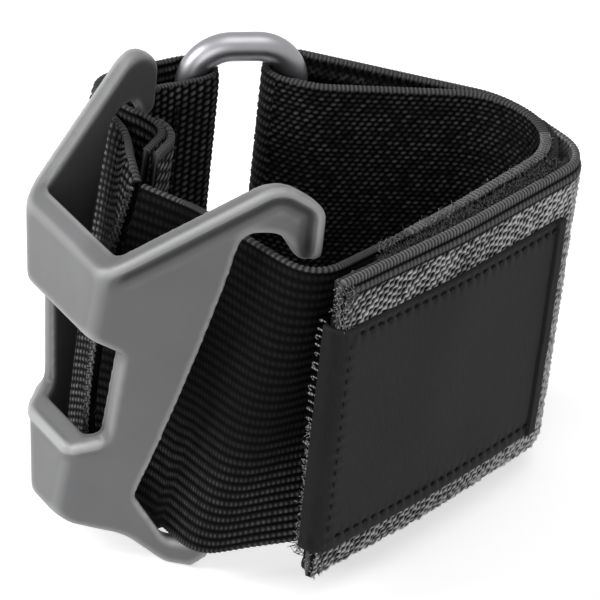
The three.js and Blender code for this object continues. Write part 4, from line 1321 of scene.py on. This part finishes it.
def clip_body():
    bm = clip_skin()
    co = np.array([v.co for v in bm.verts]) / MM - ROW_SHIFT
    normal = np.array([v.normal for v in bm.verts])
    x, y, z = co.T
    outer = ease((np.abs(x) - clip_half(y, z) + 0.9) / 0.5) * ease((np.sign(x) * normal[:, 0] - 0.35) / 0.3)
    away = from_line(y, z, clip_rim())
    lip = 1 - ease((away - LIP_WIDE) / LIP_FADE)
    groove = np.exp(-((away - LIP_WIDE - LIP_FADE - 0.4) / GROOVE_WIDE) ** 2)
    behind_front = ease((y - CLIP_FRONT_Y - 0.6) / 3.0)
    lip, groove = lip * behind_front, groove * behind_front
    front = ease((CLIP_FRONT_Y + 0.7 - y) / 0.4) * ease((-normal[:, 1] - 0.35) / 0.3)
    sill = np.maximum(front, outer * ease((CLIP_FRONT_Y + WINDOW_DEPTH - y) / 1.5))
    sill_line = WINDOW_FOOT + WINDOW_SLOPE * np.clip((y - CLIP_FRONT_Y) / WINDOW_DEPTH, 0, 1)
    bead = sill * (1 - ease((np.abs(z - sill_line) - 0.9) / 0.7))
    push = outer * (LIP_PROUD * lip - GROOVE_DEEP * groove) + SILL_PROUD * bead
    for vert, amount in zip(bm.verts, push):
        if abs(amount) > LEAST_PUSH:
            vert.co += vert.normal * (amount * MM)
    soften(bm, LIP_TURNS)
    crown = hollow_and_crown(bm)
    for _ in range(CROWN_TURNS):
        crown = neighbour_mean(bm, crown)
    crown = np.sign(crown) * np.maximum(np.abs(crown) - EVEN_FACE, 0)
    # The tone is painted light: painted shade in the groove under the lip, inside the channel and on the
    # right arm's upper face; the crown adds a painted highlight on edges and painted shade in creases.
    inner = ease((clip_half(y, z) - np.abs(x) - 1.4) / 0.6) * ease((y - CLIP_FRONT_Y - 2) / 1.0)
    tone = 0.5 - 0.25 * outer * groove - inner * (0.14 + 0.22 * ease((HOOK_TOP - 8 - z) / 14))
    tone -= 0.12 * ease((normal[:, 2] - 0.45) / 0.3) * ease((x - 2) / 4) * ease((z - 40) / 6)
    tone += np.clip(crown * 30, -0.25, 0.4)
    layer = bm.verts.layers.float.new("tone")
    for vert, value in zip(bm.verts, np.clip(tone, 0, 1)):
        vert[layer] = value
    smooth_faces(bm)
    piece = finish_piece(bm, "clip_moulding", CLIP_GREY, "clip")
    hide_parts("tool_clip")


clip_body()

# Stage, light and camera; each lamp has its place, size and power
WHITE = (1, 1, 1, 1)
FLOOR_REACH = 3.0
FLOOR_GLOW = 0.6
SKY_LIGHT = 0.14
LAMPS = {
    "key": ((-0.35, -0.72, 0.5), 0.5, 6.8),
    "fill": ((0.6, -0.62, 0.36), 0.5, 2.3),
    "top": ((0.1, 0.1, 0.9), 0.6, 2.6),
}
LAMP_AIM = Vector((0, 0, 0.03))
CAMERA_AZIMUTH = math.radians(54.0)
CAMERA_ELEVATION = math.radians(32.0)
CAMERA_ROLL = math.radians(6.5)
CAMERA_AIM = (-1.5, 0, 28.5)
CAMERA_DISTANCE = 0.5898
CAMERA_LENS = 240.0
CAMERA_SENSOR = 36.0


def seen_straight(tree):
    """1 where a backdrop is seen, mirrored or looked through, 0 where it only gives light."""
    rays = tree.nodes.new("ShaderNodeLightPath").outputs
    total = rays["Is Camera Ray"]
    for kind in ("Is Glossy Ray", "Is Transmission Ray"):
        values = {0: total, 1: rays[kind]}
        total = made_by(tree, "ShaderNodeMath", "Value", values, operation="ADD", use_clamp=True)
    return total


def studio():
    scene = bpy.context.scene
    bm = bmesh.new()
    bmesh.ops.create_grid(bm, x_segments=1, y_segments=1, size=FLOOR_REACH)
    floor = placed("floor", mesh_of(bm, "floor"))
    material, tree, shader = new_material("floor_white", 0.9, (0.8, 0.8, 0.8))
    glow = grey_range(tree, seen_straight(tree), 0.0, FLOOR_GLOW)
    fill(tree, shader, {"Emission Strength": glow, "Emission Color": WHITE})
    floor.data.materials.append(material)
    world = bpy.data.worlds.new("studio")
    scene.world = world
    world.use_nodes = True
    tree = world.node_tree
    sky = tree.nodes["Background"]
    fill(tree, sky, {"Color": WHITE, "Strength": SKY_LIGHT})
    seen = made_by(tree, "ShaderNodeBackground", "Background", {"Color": WHITE, "Strength": 1.0})
    values = {"Fac": seen_straight(tree), 1: sky.outputs["Background"], 2: seen}
    choice = made_by(tree, "ShaderNodeMixShader", "Shader", values)
    fill(tree, tree.nodes["World Output"], {"Surface": choice})
    for name, (place, size, power) in LAMPS.items():
        lamp = bpy.data.lights.new(name, "AREA")
        lamp.size = size
        lamp.energy = power
        holder = placed(name, lamp)
        holder.location = place
        holder.rotation_euler = (LAMP_AIM - Vector(place)).to_track_quat("-Z", "Y").to_euler()
    scene.view_settings.view_transform = "Standard"


def photo_camera():
    level = math.cos(CAMERA_ELEVATION)
    back = Vector((
        math.sin(CAMERA_AZIMUTH) * level,
        -math.cos(CAMERA_AZIMUTH) * level,
        math.sin(CAMERA_ELEVATION),
    ))
    right = Vector((math.cos(CAMERA_AZIMUTH), math.sin(CAMERA_AZIMUTH), 0))
    up = back.cross(right)
    across = right * math.cos(CAMERA_ROLL) + up * math.sin(CAMERA_ROLL)
    upright = up * math.cos(CAMERA_ROLL) - right * math.sin(CAMERA_ROLL)
    camera = bpy.data.cameras.new("photo_camera")
    camera.sensor_width = CAMERA_SENSOR
    camera.lens = CAMERA_LENS
    camera.clip_start = 0.01
    holder = placed("photo_camera", camera)
    turn = Matrix((across, upright, back)).transposed().to_4x4()
    holder.matrix_world = Matrix.Translation(Vector(row(CAMERA_AIM)) + back * CAMERA_DISTANCE) @ turn
    bpy.context.scene.camera = holder


studio()
photo_camera()
